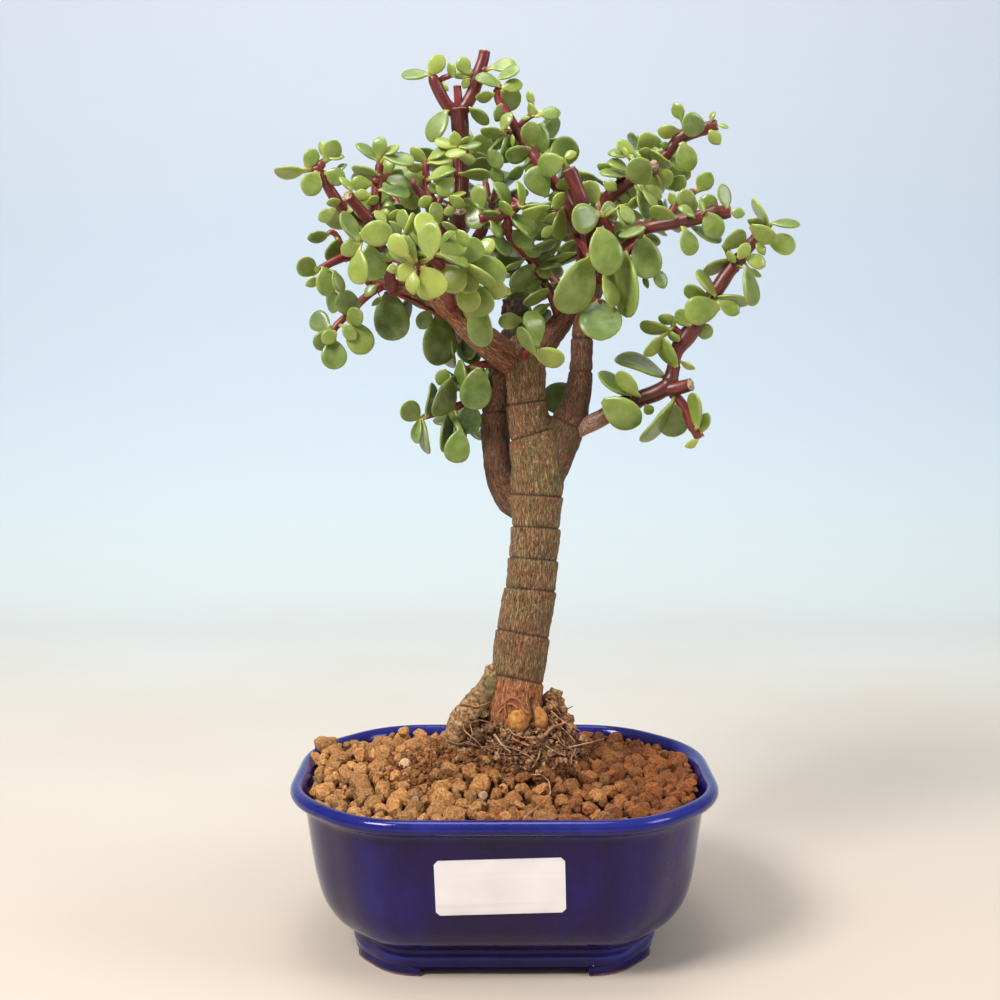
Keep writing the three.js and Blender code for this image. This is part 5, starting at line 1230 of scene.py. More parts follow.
SPRAYS = [
    {"name": "upper_left", "tone": .4, "cut": [4],
     "stems": [
      [[392, 288, -4, 6], [386, 262, -10, 6], [378, 240, -14, 6], [376, 222, -16, 6], [376, 200, -16, 5.5],
       [378, 180, -16, 4.5], [380, 160, -16, 4]],
      [[380, 244, -13, 6], [366, 232, -14, 6], [355, 223, -14, 6], [340, 205, -15, 6],
       [330, 190, -16, 5.5], [322, 175, -17, 5], [318, 167, -18, 4.5]],
      [[318, 169, -18, 4], [308, 169, -18, 4]],
      [[319, 168, -18, 4], [325, 158, -18, 4]],
      [[382, 236, -14, 6], [372, 222, -18, 5.5], [358, 207, -22, 5.5], [346, 194, -26, 5.5]],
      [[376, 232, -15, 3], [364, 238, -24, 3], [357, 240, -27, 3]]],
     "ruled": [
      [[378, 180, -16, 4], [392, 176, -6, 3.5], [398, 186, 4, 3]],
      [[378, 240, -14, 4], [372, 226, -2, 3.5], [360, 214, 8, 3]]],
     "more": [[360, 232, 350, 246, 13], [346, 214, 360, 203, 9], [382, 250, 392, 262, 14],
      [374, 212, 386, 224, 10], [340, 200, 326, 203, 9], [378, 196, 366, 204, 9]],
     "leaves": [[304, 169, 274, 170, 14], [306, 167, 316, 149, 16], [317, 173, 306, 196, 22],
      [325, 156, 321, 140, 7], [328, 159, 337, 140, 19], [328, 158, 345, 158, 8], [327, 172, 346, 182, 18],
      [337, 172, 348, 165, 6], [351, 191, 338, 178, 8], [334, 212, 318, 220, 14], [357, 241, 341, 212, 17],
      [360, 236, 393, 231, 26], [358, 243, 341, 254, 17], [370, 246, 373, 281, 30],
      [360, 250, 362, 285, 20], [352, 229, 364, 231, 8], [372, 224, 357, 208, 9], [376, 161, 355, 145, 10],
      [379, 157, 382, 136, 15], [384, 155, 400, 147, 8], [384, 158, 414, 164, 12],
      [380, 175, 352, 166, 13], [384, 181, 411, 188, 12], [381, 191, 410, 197, 12],
      [371, 184, 350, 183, 16], [370, 196, 354, 194, 12], [382, 207, 396, 201, 8], [382, 211, 391, 216, 9],
      [388, 219, 400, 209, 10], [393, 182, 402, 169, 14], [400, 201, 419, 200, 19],
      [385, 222, 402, 234, 14]]},
    {"name": "drooping_left", "tone": .22,
     "stems": [
      [[384, 284, -2, 5], [372, 292, -4, 4], [360, 302, -7, 4], [350, 313, -9, 3.5], [340, 322, -10, 3.5],
       [333, 331, -11, 3.5], [333, 340, -11, 2.5]]],
     "more": [[350, 318, 340, 302, 12], [344, 326, 356, 340, 14], [336, 332, 322, 342, 15]],
     "leaves": [[318, 278, 305, 285, 10], [343, 300, 327, 302, 24], [359, 306, 336, 299, 24],
      [330, 328, 311, 316, 22], [332, 330, 316, 349, 19], [333, 340, 335, 370, 26],
      [352, 323, 367, 354, 28], [349, 320, 364, 312, 20], [376, 286, 365, 297, 10],
      [380, 297, 371, 305, 6]]},
    {"name": "left_tip", "tone": .28,
     "stems": [
      [[368, 280, -2, 4.5], [364, 268, 2, 4.5], [350, 257, -1, 4.5], [335, 261, -7, 4.5],
       [322, 268, -10, 3.5], [314, 271, -11, 2]],
      [[346, 258, -2, 3], [340, 242, -2, 3], [334, 233, -2, 3], [327, 232, -3, 2.5]]],
     "leaves": [[328, 233, 307, 238, 12], [338, 239, 327, 261, 15], [314, 273, 299, 261, 21],
      [324, 268, 327, 297, 21], [333, 272, 341, 294, 12], [320, 272, 314, 266, 7]]},
    {"name": "front_rosette", "tone": .54, "cut": [0],
     "stems": [
      [[452, 306, -6, 6], [448, 285, -20, 6], [440, 265, -34, 6], [430, 257, -38, 6], [420, 263, -41, 5.5],
       [411, 268, -43, 4.5]],
      [[442, 264, -33, 5], [455, 266, -31, 4.5], [466, 274, -28, 4], [474, 288, -22, 3.5],
       [479, 300, -16, 3]],
      [[430, 257, -38, 4], [436, 250, -40, 3.5]]],
     "more": [[431, 258, 431, 222, 24], [446, 262, 453, 236, 26], [462, 262, 480, 240, 24],
      [470, 268, 494, 260, 18], [452, 268, 476, 292, 24], [462, 284, 474, 312, 24],
      [432, 274, 424, 300, 22], [484, 278, 505, 296, 20], [408, 256, 392, 234, 18],
      [478, 258, 494, 240, 16]],
     "leaves": [[415, 262, 393, 239, 27], [426, 250, 428, 222, 12], [439, 256, 432, 219, 15],
      [441, 256, 462, 236, 28], [440, 256, 468, 268, 9], [423, 268, 441, 296, 28],
      [444, 267, 463, 292, 28], [411, 262, 399, 281, 17], [414, 273, 414, 295, 15],
      [396, 268, 386, 270, 10], [474, 256, 461, 232, 13], [425, 255, 416, 252, 5], [403, 236, 412, 212, 8],
      [420, 236, 428, 213, 22], [472, 284, 486, 316, 28], [478, 302, 486, 347, 25],
      [465, 304, 475, 322, 9], [476, 256, 502, 284, 28], [466, 262, 497, 284, 11], [492, 287, 511, 295, 9],
      [458, 230, 471, 246, 12], [412, 232, 402, 209, 12]]},
    {"name": "under_left", "tone": .14,
     "stems": [
      [[402, 286, 0, 4], [398, 294, 0, 2.5], [412, 300, 1, 2.5], [430, 310, 2, 2.5], [445, 318, 4, 2.5],
       [468, 330, 6, 2.5]],
      [[398, 294, 0, 2.5], [384, 293, -0.5, 2]]],
     "leaves": [[388, 292, 396, 341, 36], [408, 296, 399, 328, 12], [411, 302, 444, 303, 20],
      [430, 311, 419, 329, 17], [440, 314, 435, 366, 34], [446, 318, 456, 368, 17],
      [470, 330, 471, 360, 16]]},
    {"name": "low_left_upper", "tone": .2,
     "stems": [
      [[503, 368, 8, 4], [488, 364, 6, 4], [470, 368, 4, 3.5], [455, 378, 2, 3], [450, 380, 2, 2.5]]],
     "leaves": [[462, 360, 466, 390, 14], [447, 370, 438, 385, 15], [450, 378, 433, 416, 22],
      [456, 378, 447, 402, 14], [479, 368, 473, 410, 32], [471, 374, 470, 403, 17],
      [488, 373, 484, 391, 7]]},
    {"name": "low_left_lower", "tone": .2,
     "stems": [
      [[488, 398, 8, 4.5], [472, 402, 6, 4], [458, 406, 4, 4], [440, 413, 2, 3], [420, 418, 1, 2.5]]],
     "leaves": [[425, 416, 430, 382, 11], [418, 418, 402, 404, 22], [421, 420, 418, 444, 11],
      [424, 419, 431, 454, 9], [446, 415, 443, 453, 17], [456, 416, 454, 453, 13],
      [460, 430, 455, 463, 26], [470, 404, 468, 434, 26]]},
    {"name": "top", "tone": .4, "cut": [0, 3, 4, 6],
     "stems": [
      [[466, 322, 2, 7], [460, 290, 6, 7], [457, 250, 9, 8], [460, 215, 9, 8], [461, 190, 8, 8],
       [461, 150, 6, 8.5], [460, 125, 5, 8.8], [459, 114, 5, 9.6], [459, 107, 5, 10.4]],
      [[456, 112, 5, 6.2], [447, 105, 4, 6.4], [440, 93, 3, 6.2], [434, 80, 2, 5.8], [431, 72, 2, 5]],
      [[440, 80, 3, 2.5], [446, 77, 2, 3], [453, 75, 1, 2.5]],
      [[459, 110, 5, 4.4], [458, 96, 4, 4.2], [457, 84, 4, 4]],
      [[463, 110, 5, 6], [469, 100, 5, 6.6], [474, 90, 5, 6.6], [478, 75, 4, 6.5], [483, 60, 4, 6],
       [485, 49, 4, 5.6]],
      [[482, 70, 3, 3], [490, 69, 2, 3]],
      [[458, 242, 8, 6], [458, 226, 3, 8], [458, 216, 0, 9], [458, 208, -2, 8.5]]],
     "ruled": [
      [[461, 178, 8, 4], [468, 162, 18, 3.5], [476, 146, 26, 3]]],
     "leaves": [[428, 76, 401, 77, 11], [430, 74, 443, 55, 17], [468, 73, 459, 57, 15],
      [455, 77, 450, 62, 9], [475, 74, 451, 74, 13], [468, 79, 463, 89, 9], [447, 112, 431, 143, 20],
      [492, 69, 517, 67, 13], [471, 108, 490, 123, 12], [483, 160, 481, 134, 22], [473, 152, 490, 172, 18],
      [444, 84, 449, 91, 5]]},
    {"name": "inner_left", "tone": .44,
     "stems": [
      [[451, 310, 0, 5], [450, 296, 2, 5], [450, 280, -2, 5], [447, 245, -12, 5], [442, 222, -14, 5],
       [451, 206, -14, 4.5], [457, 190, -13, 4], [457, 165, -12, 4], [457, 147, -12, 3.5]],
      [[442, 224, -14, 5], [434, 206, -13, 5], [428, 190, -12, 4.5], [426, 175, -12, 4],
       [426, 158, -12, 3]],
      [[434, 206, -13, 4.5], [420, 192, -8, 4.5], [410, 178, -6, 4]]],
     "more": [[432, 198, 418, 206, 12], [444, 214, 456, 208, 10], [446, 236, 462, 246, 14],
      [428, 186, 442, 192, 11], [456, 172, 446, 166, 9], [450, 196, 466, 206, 12]],
     "leaves": [[426, 160, 411, 147, 13], [430, 160, 448, 151, 9], [424, 167, 406, 165, 10],
      [430, 163, 453, 162, 11], [417, 193, 429, 177, 14], [430, 180, 456, 171, 11],
      [424, 177, 414, 174, 6], [452, 180, 438, 196, 20], [436, 226, 434, 202, 16], [459, 231, 442, 221, 8],
      [456, 146, 454, 131, 13], [459, 143, 469, 136, 6], [456, 148, 434, 142, 10], [460, 148, 482, 145, 9],
      [466, 154, 445, 156, 10], [462, 158, 476, 161, 12], [463, 172, 491, 173, 10],
      [449, 201, 467, 194, 6], [474, 208, 462, 199, 12], [470, 209, 482, 229, 22]]},
    {"name": "diagonal", "tone": .36, "cut": [2],
     "stems": [
      [[581, 271, 8, 6.5], [582, 254, 6, 6.5], [577, 232, -4, 7], [568, 205, -11, 6.5],
       [560, 190, -11, 6.5], [545, 172, -10, 6], [535, 157, -9, 6], [527, 145, -8, 5.5], [517, 130, -7, 5],
       [508, 115, -6, 4.5], [500, 103, -5, 4.5], [498, 92, -5, 4.5], [501, 84, -5, 3]],
      [[518, 127, -7, 3], [526, 119, -8, 3], [533, 115, -9, 3]],
      [[576, 228, -6, 6], [583, 210, -16, 7], [577, 188, -19, 7], [568, 167, -20, 7]],
      [[512, 136, -7, 3], [507, 131, -9, 2.5], [502, 131, -10, 2.5]],
      [[577, 238, -2, 4], [584, 248, -12, 3.5], [589, 258, -18, 3]]],
     "ruled": [
      [[545, 172, -10, 4], [548, 160, 2, 3.5], [538, 142, 12, 3]]],
     "more": [[556, 186, 574, 178, 12], [546, 176, 530, 186, 12], [562, 194, 548, 200, 11],
      [520, 136, 530, 132, 8]],
     "leaves": [[499, 80, 520, 69, 10], [499, 87, 475, 78, 12], [493, 94, 475, 97, 12],
      [503, 88, 523, 85, 14], [500, 92, 518, 104, 23], [502, 104, 495, 122, 13], [503, 130, 513, 113, 11],
      [503, 131, 480, 129, 12], [532, 145, 530, 122, 21], [536, 144, 545, 123, 11],
      [533, 144, 566, 141, 14], [534, 104, 529, 90, 8], [535, 117, 530, 102, 9], [533, 116, 546, 114, 8],
      [540, 115, 561, 114, 13], [529, 118, 521, 119, 5], [531, 149, 505, 156, 17],
      [511, 131, 502, 163, 16], [490, 150, 501, 169, 16], [514, 146, 513, 134, 5],
      [491, 170, 504, 182, 14], [523, 166, 506, 178, 12], [564, 160, 540, 168, 25],
      [545, 155, 566, 150, 10], [565, 158, 577, 153, 9], [553, 208, 564, 192, 13],
      [547, 196, 530, 168, 26], [561, 208, 556, 240, 14], [588, 258, 558, 311, 38]]},
    {"name": "upper_right", "tone": .42, "cut": [0, 1, 2],
     "stems": [
      [[585, 270, 9, 5.5], [588, 251, 8, 6], [593, 232, 6, 7], [604, 205, 2, 7.5], [615, 192, -1, 7.5],
       [630, 180, -3, 7.5], [645, 170, -5, 6], [656, 164, -9, 5]],
      [[632, 179, -3, 6], [650, 168, 2, 6], [665, 156, 2, 6], [675, 143, 1, 6], [683, 136, 0, 7],
       [700, 130, -1, 6.5], [719, 124, -2, 5.5]],
      [[603, 208, 2, 5], [607, 220, -2, 5], [611, 229, -6, 5]]],
     "ruled": [
      [[650, 168, 2, 4], [658, 172, 14, 3.5], [668, 166, 22, 3]]],
     "leaves": [[648, 181, 630, 160, 27], [648, 158, 628, 158, 11], [627, 171, 606, 163, 11],
      [612, 168, 597, 164, 9], [625, 177, 599, 174, 9], [604, 182, 617, 190, 12], [602, 198, 612, 192, 9],
      [627, 157, 607, 155, 8], [633, 153, 616, 142, 13], [629, 157, 624, 147, 5], [649, 150, 644, 132, 19],
      [652, 152, 638, 151, 10], [651, 149, 673, 165, 11], [655, 152, 668, 153, 8], [668, 147, 660, 143, 8],
      [656, 170, 671, 184, 19], [641, 189, 662, 198, 16], [637, 191, 648, 221, 13],
      [643, 192, 655, 212, 8], [640, 197, 626, 207, 10], [633, 210, 645, 218, 6], [636, 203, 618, 207, 9],
      [678, 130, 657, 130, 14], [682, 119, 675, 102, 13], [704, 127, 680, 122, 24],
      [682, 144, 690, 172, 22], [671, 159, 684, 171, 12], [710, 131, 720, 145, 13],
      [711, 121, 716, 112, 6], [719, 126, 728, 129, 4], [674, 190, 684, 176, 16], [597, 178, 577, 170, 9]]},
    {"name": "right", "tone": .36, "cut": [0],
     "stems": [
      [[602, 271, 2, 5], [612, 260, 2, 4.5], [622, 248, -2, 4.5], [635, 238, -8, 5], [648, 228, -12, 6.5],
       [665, 224, -14, 7], [680, 221, -15, 7.5], [700, 217, -16, 7], [715, 213, -16, 7],
       [732, 212, -16, 6]],
      [[668, 220, -14, 4], [676, 206, -12, 4], [690, 194, -10, 4], [698, 190, -10, 4]]],
     "leaves": [[676, 218, 650, 207, 16], [693, 217, 677, 208, 9], [690, 209, 682, 189, 19],
      [675, 205, 671, 191, 9], [690, 213, 695, 199, 10], [703, 212, 698, 200, 7], [699, 190, 711, 173, 18],
      [717, 207, 700, 197, 16], [726, 208, 720, 184, 13], [731, 212, 745, 214, 11],
      [706, 213, 720, 238, 22], [692, 229, 721, 243, 11], [684, 230, 691, 256, 18]]},
    {"name": "right_limb", "tone": .3,
     "stems": [
      [[599, 282, 0, 5], [606, 264, -8, 5], [612, 240, -13, 4.5], [606, 222, -15, 4], [599, 214, -16, 4]],
      [[607, 262, -8, 4], [622, 258, -12, 3.5], [634, 246, -15, 3], [642, 238, -16, 3]],
      [[612, 240, -13, 3], [602, 230, -19, 3]],
      [[599, 214, -16, 3], [598, 205, -16, 3]]],
     "leaves": [[599, 228, 609, 276, 34], [628, 252, 632, 318, 25], [608, 270, 622, 286, 15],
      [603, 280, 613, 308, 15], [641, 236, 649, 279, 31], [655, 270, 664, 289, 14],
      [643, 277, 647, 289, 6], [597, 214, 570, 223, 30], [600, 215, 617, 208, 20],
      [597, 203, 584, 182, 21], [617, 206, 629, 231, 14], [620, 206, 633, 224, 13],
      [645, 229, 619, 238, 9]]},
    {"name": "limb_front", "tone": .28,
     "stems": [
      [[590, 300, 1, 5], [596, 301, -8, 3.5], [601, 303, -14, 3]]],
     "leaves": [[600, 302, 601, 342, 43], [600, 299, 614, 307, 6]]},
    {"name": "limb_hind", "tone": .3,
     "stems": [
      [[575, 402, 2, 4], [572, 394, 8, 3], [569, 386, 12, 2.5]]],
     "leaves": [[569, 385, 546, 410, 30]]},
    {"name": "far_right", "tone": .46, "cut": [1, 2], "woody": 20,
     "stems": [
      [[566, 437, 3, 6.5], [576, 432, 0, 7.5], [590, 424, -3, 8.5], [605, 416, -5, 9], [625, 403, -6, 8.5],
       [645, 397, -7, 8.5], [660, 391, -8, 8.5], [669, 383, -8, 8], [673, 370, -8, 6.5], [676, 355, -8, 6],
       [680, 345, -8, 8.5], [688, 335, -8, 9], [698, 320, -9, 8.5], [708, 303, -10, 8],
       [718, 288, -11, 7.5], [728, 273, -11, 7], [737, 262, -11, 6.5], [748, 248, -12, 6],
       [759, 234, -12, 5.5], [766, 226, -13, 5]],
      [[664, 390, -8, 7], [678, 388, -10, 7], [693, 384, -13, 6.5]],
      [[672, 392, -8, 5], [684, 407, -9, 5], [692, 425, -10, 5], [701, 440, -11, 4.5]],
      [[684, 338, -8, 3.5], [678, 332, -10, 3.5], [671, 325, -12, 3]],
      [[736, 262, -11, 3.5], [730, 256, -12, 3.5], [726, 248, -13, 3]],
      [[764, 228, -13, 4], [772, 226, -14, 3.5]],
      [[712, 300, -10, 3.5], [712, 297, -14, 3.5]]],
     "leaves": [[603, 400, 641, 423, 32], [630, 396, 597, 374, 15], [638, 394, 618, 371, 18],
      [664, 379, 613, 362, 12], [670, 402, 638, 440, 12], [671, 403, 675, 437, 31],
      [645, 405, 652, 414, 11], [660, 337, 643, 355, 13], [678, 366, 661, 337, 15],
      [670, 329, 640, 322, 14], [677, 320, 658, 316, 11], [690, 325, 676, 310, 16],
      [680, 340, 668, 331, 8], [682, 361, 696, 368, 7], [719, 307, 684, 313, 29], [697, 326, 712, 336, 16],
      [708, 298, 685, 286, 15], [714, 297, 695, 271, 9], [715, 296, 750, 301, 13],
      [719, 303, 739, 314, 15], [744, 269, 751, 307, 14], [750, 268, 762, 276, 6],
      [731, 259, 702, 271, 11], [738, 258, 749, 243, 13], [736, 262, 728, 250, 8],
      [746, 257, 765, 267, 15], [756, 244, 764, 256, 9], [751, 225, 775, 240, 18],
      [763, 222, 747, 219, 10], [770, 224, 754, 197, 8], [773, 225, 800, 226, 8], [768, 239, 795, 249, 21],
      [722, 247, 745, 232, 16], [699, 427, 694, 392, 14], [702, 432, 709, 413, 13],
      [697, 440, 684, 446, 9]]},
    {"name": "fork", "tone": .42,
     "stems": [
      [[524, 356, -4, 5], [526, 350, -12, 4], [532, 348, -16, 3.5], [536, 349, -18, 3]]],
     "leaves": [[521, 320, 498, 323, 17], [536, 346, 527, 311, 20], [536, 352, 520, 326, 12],
      [535, 351, 565, 360, 20]]},
    {"name": "middle", "tone": .32, "cut": [1],
     "stems": [
      [[560, 320, 8, 5], [553, 300, 4, 4.5], [545, 284, 2, 4.5], [532, 262, -4, 4], [517, 246, -9, 4],
       [508, 232, -14, 4.5], [508, 216, -19, 5.5]],
      [[483, 218, -20, 5], [496, 215, -20, 6], [508, 211, -20, 6], [518, 206, -22, 4.5],
       [522, 204, -23, 3.5]],
      [[532, 262, -4, 3.5], [528, 276, 2, 3], [530, 288, 6, 3]]],
     "more": [[512, 228, 498, 224, 10], [520, 244, 508, 236, 10], [536, 270, 552, 276, 12],
      [524, 250, 540, 256, 11], [514, 214, 500, 200, 10], [510, 220, 526, 228, 12]],
     "leaves": [[521, 206, 515, 181, 8], [522, 206, 552, 201, 9], [511, 216, 534, 239, 15],
      [508, 210, 493, 183, 13], [482, 210, 479, 184, 17], [488, 211, 474, 204, 7], [500, 212, 483, 210, 5],
      [549, 205, 521, 212, 11], [556, 212, 539, 220, 8], [491, 223, 500, 239, 11],
      [492, 238, 510, 256, 14], [528, 253, 501, 246, 9], [528, 250, 556, 240, 9], [512, 232, 532, 246, 18],
      [522, 260, 504, 268, 6], [533, 264, 510, 289, 19], [540, 282, 526, 288, 13],
      [576, 252, 544, 262, 12], [575, 240, 558, 250, 9], [560, 264, 540, 270, 7], [548, 288, 522, 303, 12],
      [548, 306, 532, 316, 11], [556, 282, 534, 298, 13], [552, 226, 541, 237, 10]]},
    {"name": "back_left", "tone": .12,
     "ruled": [
      [[486, 340, 0, 6], [480, 322, 12, 5.5], [458, 294, 19, 5.5], [438, 265, 24, 5], [416, 235, 32, 4.5],
       [398, 205, 38, 4], [385, 180, 42, 3]],
      [[438, 265, 24, 4], [405, 262, 34, 3.5], [380, 255, 40, 3]],
      [[416, 235, 32, 3.5], [440, 200, 38, 3], [440, 170, 42, 3]]]},
    {"name": "back_middle", "tone": .08,
     "ruled": [
      [[531, 352, 8, 6], [529, 320, 18, 5.5], [518, 285, 28, 5], [505, 250, 34, 4.5], [492, 215, 38, 4],
       [485, 180, 42, 3]],
      [[518, 285, 28, 4], [545, 262, 35, 3.5], [560, 240, 40, 3]],
      [[505, 250, 34, 3.5], [470, 245, 40, 3], [455, 225, 43, 3]]]},
    {"name": "back_right", "tone": .12,
     "ruled": [
      [[592, 290, 2, 6], [594, 278, 13, 5.5], [598, 262, 18, 5.5], [606, 235, 26, 5], [618, 205, 34, 4.5],
       [632, 180, 40, 4], [645, 160, 44, 3]],
      [[606, 235, 26, 4], [640, 225, 36, 3.5], [665, 215, 42, 3]],
      [[598, 262, 18, 3.5], [575, 240, 28, 3], [560, 215, 34, 3]]]},
    {"name": "back_low", "tone": .12,
     "ruled": [
      [[498, 392, 10, 5], [480, 370, 22, 4.5], [462, 345, 30, 4], [448, 328, 34, 3]],
      [[480, 370, 22, 3.5], [470, 396, 28, 3], [462, 418, 32, 3]]]},
]
INNER_SHOOTS = [                    # shoots in the shade of the crown, with ruled leaves alone
    {"name": "inner_top", "tone": .1,
     "ruled": [
      [[460, 292, 6, 5], [470, 262, 14, 4.5], [482, 235, 18, 4], [492, 205, 20, 3.5], [500, 180, 22, 3]]]},
    {"name": "inner_middle", "tone": .12,
     "ruled": [
      [[568, 208, -9, 5], [556, 214, -1, 4.5], [540, 214, 8, 4], [524, 206, 14, 3.5], [510, 196, 18, 3]]]},
    {"name": "inner_low", "tone": .08,
     "ruled": [
      [[450, 284, -1, 5], [462, 262, 4, 4.5], [474, 240, 8, 4], [484, 222, 8, 3]]]},
    {"name": "inner_limb", "tone": .1,
     "ruled": [
      [[414, 289, -1, 5], [420, 262, 8, 4.5], [430, 238, 12, 4], [436, 214, 14, 3]],
      [[420, 262, 8, 4], [404, 250, 16, 3.5], [392, 236, 22, 3]]]},
    {"name": "inner_fork", "tone": .06,
     "ruled": [
      [[573, 300, 10, 5], [560, 286, 16, 4.5], [545, 268, 22, 4], [532, 246, 26, 3]]]},
    {"name": "inner_right", "tone": .1,
     "ruled": [
      [[593, 234, 7, 5], [582, 214, 16, 4.5], [572, 196, 20, 4], [560, 180, 22, 3]],
      [[600, 266, 4, 5], [618, 250, 10, 4], [636, 236, 14, 3.5], [650, 224, 16, 3]]]},
]
LEAF_PLUMP, LEAF_SLIM = .86, .74    # breadth of a full and of a slim leaf against its length
LEAF_THICKNESS = (.7, .095)         # a fixed part, and a share of the leaf's length
LEAF_ROOM = .7                      # mm kept between leaves of different sprays
STALK_HALF, STALK_REACH = .45, 2.6  # half a stalk's thickness, and how far off a leaf gets one
RULED_SPACING = 9.4                 # mm between the leaf pairs of a ruled stem
RULED_LENGTH = (9.5, 13.5)          # the least and the most of those leaves' length
TOUCH_GAP = .3                      # mm kept between wood that carries leaves and other stems
DEPTH_STEPS = (0, -2, 2, -4, 4, -6, 6, -8.5, 8.5, -11, 11, -14, 14)     # tried in this order
STEM_SIDES = 14                     # points round a stem


def routes_of(spray):
    """The routes of all stems of a spray, the ruled ones last."""
    return spray.get("stems", []) + spray.get("ruled", [])


def seeded_shares(seed):
    """An endless line of seeded shares from 0 to 1, each from the last by one multiplication."""
    state = seed
    while True:
        state = (state * 1664525 + 1013904223) % 2 ** 32
        yield state / 2 ** 32


def leaf_outline(t):
    """Half breadth along an egg-shaped leaf, broadest past its middle, as a share of the most."""
    return t ** .685 * (1 - t) ** .42 / .48


def make_leaf(base, along, side, length, broad):
    """A leaf's own frame: its root, its way, its side, its face, and its three sizes."""
    face = unit(np.cross(along, side))
    return {"base": base, "along": along, "side": side, "face": face, "length": length,
            "broad": broad, "thick": LEAF_THICKNESS[0] + LEAF_THICKNESS[1] * length}


def leaf_from_row(row, depth, tip_lean, side_lean):
    """A leaf from its row on the sheet, at a depth. What looks short or narrow is seen at a slant:
    the angle whose cosine is how it looks over how it must be."""
    across, down, tip_across, tip_down, breadth = row
    base = seen(across, down, depth)
    flat = seen(tip_across, tip_down, depth) - base
    looks_long, looks_broad = np.linalg.norm(flat), breadth * unit_at(base)
    length = max(looks_long, looks_broad / LEAF_PLUMP)
    broad = max(looks_broad, length * LEAF_SLIM)
    sight = unit(base - SHEET_EYE)
    slant = math.acos(min(looks_long / length, 1))
    turn = math.acos(min(looks_broad / broad, 1))
    along = unit(unit(flat) * math.cos(slant) - sight * math.sin(slant) * tip_lean)
    sideways = unit(np.cross(along, sight))
    facing = np.cross(sideways, along)
    side = sideways * math.cos(turn) + facing * math.sin(turn) * side_lean
    return make_leaf(base, along, side, length, broad)


def leaf_points(leaf):
    """Points spread over a leaf, which stand for it when room is looked for."""
    t = np.array([.18, .42, .66, .88])
    half = leaf["broad"] / 2 * leaf_outline(t)
    spread = (leaf["base"] + leaf["along"] * (leaf["length"] * t)[:, None])[:, None] + (
        leaf["side"] * (half[:, None] * [-.8, 0, .8])[..., None])
    return np.vstack([leaf["base"] + leaf["along"] * leaf["length"], spread.reshape(-1, 3)])


def touches_leaves(points, base, along, side, face, length, broad, thick, reach):
    """Whether each point lies within `reach` of each leaf, taken as a flat egg shape of its
    thickness. Points run down the answer and leaves run across it."""
    off = points[:, None] - base[None]
    reach = np.broadcast_to(reach, off.shape[:2])
    t = (off * along).sum(axis=2) / length
    margin = reach / length
    inside = (t >= -margin) & (t <= 1 + margin) & (np.abs((off * face).sum(axis=2)) <= thick + reach)
    half = broad / 2 * leaf_outline(np.clip(t, .04, .96))
    return inside & (np.abs((off * side).sum(axis=2)) < half + reach)


LEAF_KEYS = ("base", "along", "side", "face", "length", "broad", "thick")


def as_arrays(leaf):
    """One leaf's frame as arrays of one row."""
    return [np.asarray(leaf[key])[None] for key in LEAF_KEYS]


def stem_balls(rows):
    """Balls about two mm apart along a stem, in mm: places and radii."""
    rows = np.asarray(rows, float)
    ends = seen(*rows[:, :3].T)
    radii = rows[:, 3] * unit_at(ends)
    places, sizes = [], []
    for i in range(len(rows) - 1):
        share = np.linspace(0, 1, math.ceil(np.linalg.norm(ends[i + 1] - ends[i]) / 2) + 1)
        places.append(ends[i] + (ends[i + 1] - ends[i]) * share[:, None])
        sizes.append(radii[i] + (radii[i + 1] - radii[i]) * share)
    return np.vstack(places), np.concatenate(sizes)


def clear_of_stems(leaf, places, radii, reach):
    """Whether a leaf and its stalk keep clear of the balls of stems."""
    near = touches_leaves(places, *as_arrays(leaf), (radii + reach - leaf["thick"] / 2)[:, None])
    if near.any():
        return False
    return not any((np.linalg.norm(places - point, axis=1) < radii + reach + STALK_HALF).any()
                   for point in leaf["stalk"])


def clear_of_leaves(leaf, others, reach):
    """Whether a leaf keeps clear of leaves that are already in place, both ways round."""
    if not others:
        return True
    points = np.vstack([leaf_points(leaf), *[point[None] for point in leaf["stalk"]]])
    near = [other for other in others
            if np.linalg.norm(other["base"] - leaf["base"]) < other["length"] + leaf["length"] + 12]
    if not near:
        return True
    fields = [np.array([other[key] for other in near]) for key in LEAF_KEYS]
    if touches_leaves(points, *fields, reach).any():
        return False
    theirs = np.vstack([other["points"] for other in near])
    return not touches_leaves(theirs, *as_arrays(leaf), reach).any()


def outer_part(leaf):
    """The outer part of a leaf, without its root, which its neighbours on the stem may meet."""
    cut = .34
    outer = dict(leaf, base=leaf["base"] + leaf["along"] * leaf["length"] * cut,
                 length=leaf["length"] * (1 - cut), broad=leaf["broad"] * .94, stalk=[])
    outer["points"] = leaf_points(outer)
    return outer


def on_stem(leaf, places, radii):
    """The leaf joined to the ball of its stem nearest to its base, by a stalk if that is far."""
    away = np.linalg.norm(places - leaf["base"], axis=1)
    near = int(away.argmin())
    leaf["stem"], leaf["stem_radius"] = places[near], radii[near]
    far = away[near] - radii[near] >= STALK_REACH
    leaf["stalk"] = [places[near] + (leaf["base"] - places[near]) * t for t in (.4, .7)] if far else []
    return leaf


def depth_on_stems(routes, row):
    """The depth of the stem where a leaf's row starts, a little in front of its middle."""
    best, depth = np.inf, 0
    for rows in routes:
        rows = np.asarray(rows, float)
        for i in range(len(rows) - 1):
            for k in range(5):
                across, down, deep, radius = rows[i] + (rows[i + 1] - rows[i]) * k / 4
                away = math.hypot(across - row[0], down - row[1])
                if away < best:
                    best, depth = away, deep - .2 * radius
    return depth


